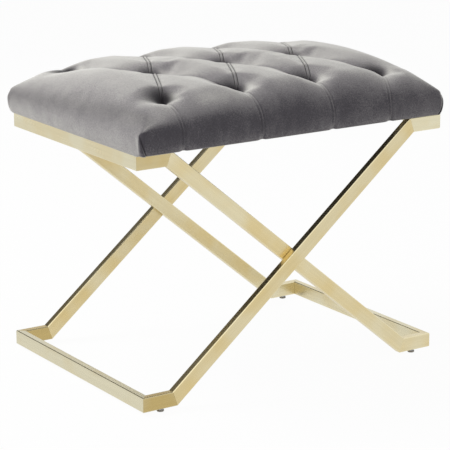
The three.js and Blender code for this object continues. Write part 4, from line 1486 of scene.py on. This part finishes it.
# The foam stands on the board, whose top is 443.1 mm up
FOAM_FOOT = 443.1 - HEM_BOTTOM
FOAM_RINGS = [(SIDE_HEIGHT - 6.5, 0.6), (23.0, 1.8), (FOAM_FOOT, 1.0)]


def make_skin(name, points, faces, finish, lift, **masks):
    mesh = bpy.data.meshes.new(name)
    mesh.vertices.add(len(points))
    lifted = (points + np.array((0, 0, lift))) * MM
    mesh.vertices.foreach_set("co", lifted.astype(np.float32).ravel())
    mesh.loops.add(len(faces) * 3)
    mesh.loops.foreach_set("vertex_index", faces.astype(np.int32).ravel())
    mesh.polygons.add(len(faces))
    mesh.polygons.foreach_set("loop_start", np.arange(0, len(faces) * 3, 3, dtype=np.int32))
    mesh.update(calc_edges=True)
    mesh.validate()
    mesh.shade_smooth()
    for label, values in masks.items():
        mask = np.zeros(len(points), dtype=np.float32)
        mask[: len(values)] = values
        mesh.attributes.new(label, "FLOAT", "POINT").data.foreach_set("value", mask)
    mesh.materials.append(finish)
    piece = add_object(name, mesh)
    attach(piece, "stool")
    return piece


def make_foam(source):
    """The foam fills the cover: a coarse top, a side within the velvet, and a flat underside."""
    top, faces = coarse_top(source, FOAM_INSET, FOAM_DROP)
    points, parts = [top], [faces]
    outline = (inner_x[inner_edge], inner_y[inner_edge])
    last, start = add_rings(points, parts, inner_edge, len(top), FOAM_RINGS, outline)
    points.append(np.array([[0.0, 0.0, FOAM_FOOT]]))
    parts.append(np.stack((last, np.full_like(last, start), np.roll(last, -1)), 1))
    return np.concatenate(points), np.concatenate(parts)


# The crease attribute is painted shade, and the other one a painted highlight
cover = make_skin("tufted_cover", *close_skin(fine_places), velvet, HEM_BOTTOM, crease=painted_crease_shade, swept=swept)
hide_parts("velvet_cover")
foam = make_skin("shaped_foam", *make_foam(fine_places), foam_skin, HEM_BOTTOM)
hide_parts("foam_pad")
print("cover triangles:", len(cover.data.polygons), "foam triangles:", len(foam.data.polygons))

# %% [markdown]
# ## The cloth under the seat
#
# Thin black cloth closes the seat's underside. It is cut flat, punched for the four seat bolts and
# stapled along its edge, so it hangs a little lower in the middle and puckers between two staples.
# It is a grid in one plane, whose cells at the bolts make way for round holes, given a thickness.

# %% Cloth under the seat
CLOTH_LENGTH, CLOTH_DEPTH, CLOTH_THICKNESS = 564.0, 376.2, 0.5
CLOTH_LOW, CLOTH_SAG, CLOTH_CELL = 424.45, 1.4, 6.0
# Where the sag starts, from the middle, and over what length it reaches its depth
SAG_FROM_X, SAG_OVER_X, SAG_FROM_Y, SAG_OVER_Y = 226.0, 130.0, 176.0, 110.0
PUCKER, PUCKER_REACH = 0.25, 7.0
STAPLE_SPACING, LONG_ROW, SHORT_ROW = 29.0, 232.0, 130.5
HOLE_RADIUS, HOLE_CELL, HOLE_STEPS = 3.3, 5.5, 6


def bolt_places():
    middles = []
    for name in nodes_named("seat_bolt"):
        low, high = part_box(name)
        middles.append(((low[0] + high[0]) / 2 / MM, (low[1] + high[1]) / 2 / MM))
    return middles


bolts = bolt_places()


def cloth_line(reach, middles):
    """Even lines from edge to edge, but for one wide cell round each hole."""
    lines = np.linspace(-reach, reach, round(2 * reach / CLOTH_CELL) + 1)
    for middle in sorted(set(round(m, 2) for m in middles)):
        lines = lines[(np.abs(lines - middle) > HOLE_CELL + 1) | (np.abs(lines) == reach)]
        lines = np.append(lines, (middle - HOLE_CELL, middle + HOLE_CELL))
    return np.unique(lines)


def pucker(place, row, to_edge):
    """The cloth rises between two staples of a row, most at its edge."""
    between_two = math.sin(math.pi * (place + row) / STAPLE_SPACING) ** 2 if abs(place) < row else 0
    return between_two * math.exp(-to_edge / PUCKER_REACH)


def cloth_height(x, y):
    sag = smooth((SAG_FROM_X - abs(x)) / SAG_OVER_X) * smooth((SAG_FROM_Y - abs(y)) / SAG_OVER_Y)
    puckers = pucker(x, LONG_ROW, CLOTH_DEPTH / 2 - abs(y)) + pucker(y, SHORT_ROW, CLOTH_LENGTH / 2 - abs(x))
    return CLOTH_LOW + PUCKER * puckers - CLOTH_SAG * sag


def make_cloth():
    lines_x = cloth_line(CLOTH_LENGTH / 2, [x for x, _ in bolts])
    lines_y = cloth_line(CLOTH_DEPTH / 2, [y for _, y in bolts])
    form = bmesh.new()

    def point(x, y):
        return form.verts.new((x * MM, y * MM, cloth_height(x, y) * MM))

    points = [[point(x, y) for y in lines_y] for x in lines_x]
    for i in range(len(lines_x) - 1):
        for j in range(len(lines_y) - 1):
            middle_x, middle_y = (lines_x[i] + lines_x[i + 1]) / 2, (lines_y[j] + lines_y[j + 1]) / 2
            corners = [points[i][j], points[i + 1][j], points[i + 1][j + 1], points[i][j + 1]]
            if not any(math.hypot(middle_x - x, middle_y - y) < 1 for x, y in bolts):
                form.faces.new(corners[::-1])
                continue
            turns = [math.pi * (k / HOLE_STEPS / 2 - 0.75) for k in range(4 * HOLE_STEPS)]
            around = [(HOLE_RADIUS * math.cos(t), HOLE_RADIUS * math.sin(t)) for t in turns]
            rim = [point(middle_x + x, middle_y + y) for x, y in around]
            for k in range(4):
                arc = [rim[(k * HOLE_STEPS + step) % len(rim)] for step in range(HOLE_STEPS + 1)]
                form.faces.new(([corners[k], corners[(k + 1) % 4]] + arc[::-1])[::-1])
    mesh = bpy.data.meshes.new("seat_cloth")
    form.to_mesh(mesh)
    form.free()
    mesh.materials.append(black_cloth)
    cloth = add_object("seat_cloth", mesh)
    thickness = cloth.modifiers.new("thickness", "SOLIDIFY")
    set_all(thickness, thickness=CLOTH_THICKNESS * MM, offset=-1.0)
    return bake(cloth)


cloth = make_cloth()
cloth.data.shade_smooth()
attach(cloth, "stool")
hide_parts("dust_cover")
print("cloth under the seat:", len(cloth.data.polygons), "faces,", len(bolts), "holes")

# %% [markdown]
# ## Staples
#
# A staple is a flat wire with two legs, driven in every 29 mm: one row holds the velvet's hem, and
# one the black cloth. The tree bends a single staple, then sets copies of it along straight rows,
# each turned a little at random from a fixed seed, as a hand-held gun leaves them.

# %% Staple tree
# The most that a staple turns away from its row, as a slope
STRAY = 0.09


def points_along(tree, rows, spacing):
    spaced = tree.first("ResampleCurve", {"Curve": rows.outputs[0], "Length": spacing}, mode="LENGTH")
    return tree.node("CurveToPoints", {0: spaced}, mode="EVALUATED").outputs


def random_vector(tree, low, high, seed):
    spread = {0: low, 1: high, "Seed": seed}
    return tree.first("FunctionNodeRandomValue", spread, data_type="FLOAT_VECTOR")


def bent_wire(tree, given):
    """A flat wire through four points: the crown's two ends and the tip of each leg."""
    number = tree.first("InputIndex")
    right = tree.math("MULTIPLY_ADD", tree.math("GREATER_THAN", number, 1.5), 2.0, -1.0)
    across = tree.times(right, tree.times(given["Crown"], 0.5))
    outer = tree.math("GREATER_THAN", tree.math("ABSOLUTE", tree.minus(number, 1.5)), 1.0)
    line = tree.first("MeshLine", {"Count": 4})
    place = tree.xyz(x=across, z=tree.times(outer, given["Leg"]))
    path = tree.first("MeshToCurve", {0: tree.first("SetPosition", {"Geometry": line, "Position": place})})
    rounding = {"Curve": path, "Count": 3, "Radius": given["Wire"]}
    flat_wire = {"Width": given["Wire"], "Height": tree.times(given["Wire"], 0.5)}
    section = tree.first("CurvePrimitiveQuadrilateral", flat_wire)
    path = tree.first("FilletCurve", rounding, mode="POLY")
    return tree.first("CurveToMesh", {"Curve": path, "Profile Curve": section, "Fill Caps": True})


def make_staple_tree():
    labels = ["Long Row", "Short Row", "Half Depth", "Half Length", "Height", "Spacing"]
    inputs = [(label, FLOAT, 0.01) for label in labels + ["Crown", "Leg", "Wire"]]
    inputs += [("Ends", "NodeSocketBool", False), ("Seed", "NodeSocketInt", 4)]
    tree, given, result = new_shape_tree("staple_rows", inputs)
    staple = bent_wire(tree, given)

    def row(along_x, side):
        reach, away = ("Long Row", "Half Depth") if along_x else ("Short Row", "Half Length")
        aside = tree.times(given[away], side)
        ends = []
        for value in (tree.times(given[reach], -1.0), given[reach]):
            ends.append(tree.xyz(*((value, aside) if along_x else (aside, value)), given["Height"]))
        return tree.first("CurvePrimitiveLine", {"Start": ends[0], "End": ends[1]})

    long_rows, short_rows, rows = (tree.node("JoinGeometry") for _ in range(3))
    for side in (-1.0, 1.0):
        tree.join(row(True, side), long_rows.inputs[0])
        tree.join(row(False, side), short_rows.inputs[0])
    ends = {"Switch": given["Ends"], "True": short_rows.outputs[0]}
    tree.join(long_rows.outputs[0], rows.inputs[0])
    tree.join(tree.first("Switch", ends, input_type="GEOMETRY"), rows.inputs[0])
    points = points_along(tree, rows, given["Spacing"])
    stray = random_vector(tree, (-STRAY, -STRAY, 0.0), (STRAY, STRAY, 0.0), given["Seed"])
    towards = {"Vector": tree.vector_math("ADD", points["Tangent"], stray)}
    turned = tree.first("FunctionNodeAlignRotationToVector", towards, axis="X", pivot_axis="Z")
    copies = {"Points": points["Points"], "Instance": staple, "Rotation": turned}
    return finish_tree(tree, given, tree.first("InstanceOnPoints", copies), result)


staple_tree = make_staple_tree()

# %% Staples
STAPLE_CROWN, STAPLE_LEG, STAPLE_WIRE = 10.0, 5.0, 1.1
END_ROWS_AT = 278.0
STAPLE_ROWS = {
    "hem_staples": {"half_depth": 199.0 * MM, "height": 424.98 * MM, "ends": False, "seed": 4},
    "cloth_staples": {"half_depth": 184.0 * MM, "height": 424.15 * MM, "ends": True, "seed": 9},
}
same_for_all = {"long_row": LONG_ROW * MM, "short_row": SHORT_ROW * MM, "half_length": END_ROWS_AT * MM}
same_for_all.update({"spacing": STAPLE_SPACING * MM, "crown": STAPLE_CROWN * MM, "leg": STAPLE_LEG * MM})

for name, row in STAPLE_ROWS.items():
    staples = grow(name, staple_tree, wire=STAPLE_WIRE * MM, material=zinc, **same_for_all, **row)
    face_outwards(staples.data)
    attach(staples, "stool")
    print(name + ":", len(staples.data.polygons), "faces")

# %% [markdown]
# ## Weld beads
#
# The corner plates are welded into the tops of the loops. A hand-laid bead looks like a row of
# overlapping coins, one for each pulse of the torch. The tree lays flattened balls along the two
# edges of a plate that touch tube, closer together than they are wide.

# %% Weld bead tree
# How far from the plate's corner a run starts, as a share of its length
RUN_START = 0.16
SMALLEST_BALL, LARGEST_BALL = (0.85, 0.85, 0.7), (1.15, 1.15, 0.95)


def make_bead_tree():
    inputs = [("Corner", VECTOR, (0, 0, 0)), ("Along Length", FLOAT, 0.03), ("Along Depth", FLOAT, 0.03)]
    inputs += [("Radius", FLOAT, 0.0015), ("Pitch", FLOAT, 0.001), ("Seed", "NodeSocketInt", 2)]
    tree, given, result = new_shape_tree("weld_beads", inputs)
    runs = tree.node("JoinGeometry")
    for axis, label in (("x", "Along Length"), ("y", "Along Depth")):
        ends = (tree.xyz(**{axis: tree.times(given[label], RUN_START)}), tree.xyz(**{axis: given[label]}))
        start, end = (tree.vector_math("ADD", given["Corner"], value) for value in ends)
        tree.join(tree.first("CurvePrimitiveLine", {"Start": start, "End": end}), runs.inputs[0])
    points = points_along(tree, runs, given["Pitch"])[0]
    ball = tree.first("MeshIcoSphere", {"Radius": given["Radius"], "Subdivisions": 2})
    sizes = random_vector(tree, SMALLEST_BALL, LARGEST_BALL, given["Seed"])
    copies = tree.first("InstanceOnPoints", {"Points": points, "Instance": ball, "Scale": sizes})
    return finish_tree(tree, given, copies, result)


bead_tree = make_bead_tree()

# %% Weld beads
BEAD_LENGTH, BEAD_RADIUS, BEAD_PITCH = 36.0 * MM, 1.5 * MM, 1.0 * MM
plates = nodes_named("seat_plate")
for number, name in enumerate(plates):
    low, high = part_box(name)
    outer = [low[axis] if low[axis] < 0 else high[axis] for axis in range(2)]
    runs = [math.copysign(BEAD_LENGTH, -value) for value in outer]
    sizes = {"corner": (*outer, low[2]), "along_length": runs[0], "along_depth": runs[1]}
    sizes.update({"radius": BEAD_RADIUS, "pitch": BEAD_PITCH, "seed": number, "material": plate_gold})
    bead = grow(name.replace("seat_plate", "plate_weld"), bead_tree, **sizes)
    bead.data.shade_smooth()
    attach(bead, "stool")
print("weld beads at", len(plates), "plates")

# %% [markdown]
# ## Levelling glides
#
# Each foot stands on a moulded pad with a threaded stem. The pad is a turned form; the thread is
# a small three-sided profile drawn along a spiral, which a Geometry Nodes tree does from the
# stem's sizes.


# %% Turned forms and threads
def turned_form(profile, steps=40):
    """A closed form from (radius, height) pairs in mm that start and end on the axis."""
    form = bmesh.new()
    rings = []
    for radius, height in profile:
        turns = [2 * math.pi * k / steps for k in range(steps if radius > 0 else 1)]
        around = [(radius * MM * math.cos(t), radius * MM * math.sin(t), height * MM) for t in turns]
        rings.append([form.verts.new(place) for place in around])
    for lower, upper in zip(rings, rings[1:]):
        for k in range(steps):
            after = k + 1
            corners = [lower[k % len(lower)], lower[after % len(lower)]]
            corners += [upper[after % len(upper)], upper[k % len(upper)]]
            form.faces.new(list(dict.fromkeys(corners)))
    return form


def make_thread_tree():
    inputs = [("Radius", FLOAT, 0.003), ("Height", FLOAT, 0.01)]
    inputs += [("Turns", FLOAT, 10.0), ("Ridge", FLOAT, 0.0004)]
    tree, given, result = new_shape_tree("screw_thread", inputs)
    sizes = {"Resolution": 24, "Rotations": given["Turns"], "Height": given["Height"]}
    sizes.update({"Start Radius": given["Radius"], "End Radius": given["Radius"]})
    spiral = tree.first("CurveSpiral", sizes)
    ridge = tree.first("CurvePrimitiveCircle", {"Resolution": 3, "Radius": given["Ridge"]})
    thread = tree.first("CurveToMesh", {"Curve": spiral, "Profile Curve": ridge, "Fill Caps": True})
    return finish_tree(tree, given, thread, result)


thread_tree = make_thread_tree()

# %% Glides
PAD_RADIUS, PAD_HEIGHT, STEM_RADIUS, STEM_TOP = 6.0, 3.6, 3.0, 21.6
# The thread starts above the pad and ends below the stem's top
THREAD_START, THREAD_END, THREAD_TURNS = 0.6, 1.4, 15.0
THREAD_DEPTH, RIDGE = 0.42, 0.4
SHARP_ANGLE = math.radians(40)
core = STEM_RADIUS - RIDGE
PAD_PROFILE = [(0, 0), (4.9, 0), (5.6, 0.25), (PAD_RADIUS, 0.9), (PAD_RADIUS, 2.3), (5.7, 3.0), (4.9, 3.45)]
PAD_PROFILE += [(3.4, PAD_HEIGHT), (core, PAD_HEIGHT), (core, 21.1), (2.1, STEM_TOP), (0, STEM_TOP)]


def make_glide(name):
    low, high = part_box(name)
    middle = ((low[0] + high[0]) / 2, (low[1] + high[1]) / 2, low[2])
    sizes = {"radius": (STEM_RADIUS - THREAD_DEPTH) * MM, "turns": THREAD_TURNS, "ridge": RIDGE * MM}
    sizes["height"] = (STEM_TOP - PAD_HEIGHT - THREAD_START - THREAD_END) * MM
    thread = grow(name + "_thread", thread_tree, material=glide_plastic, **sizes)
    thread.data.transform(Matrix.Translation((0, 0, (PAD_HEIGHT + THREAD_START) * MM)))
    face_outwards(thread.data)
    form = turned_form(PAD_PROFILE)
    bmesh.ops.recalc_face_normals(form, faces=form.faces)
    form.from_mesh(thread.data)
    mesh = bpy.data.meshes.new(name + "_turned")
    form.to_mesh(mesh)
    form.free()
    bpy.data.objects.remove(thread)
    mesh.transform(Matrix.Translation(middle))
    mesh.materials.append(glide_plastic)
    mesh.shade_smooth()
    mesh.set_sharp_from_angle(angle=SHARP_ANGLE)
    glide = add_object(name + "_turned", mesh)
    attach(glide, name)
    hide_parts(name)


glides = [name for name in nodes_named("glide_") if "insert" not in name]
for name in glides:
    make_glide(name)
print("glides:", glides)

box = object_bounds()
print("visual box:", [round(v, 4) for v in (*box[0], *box[1])])
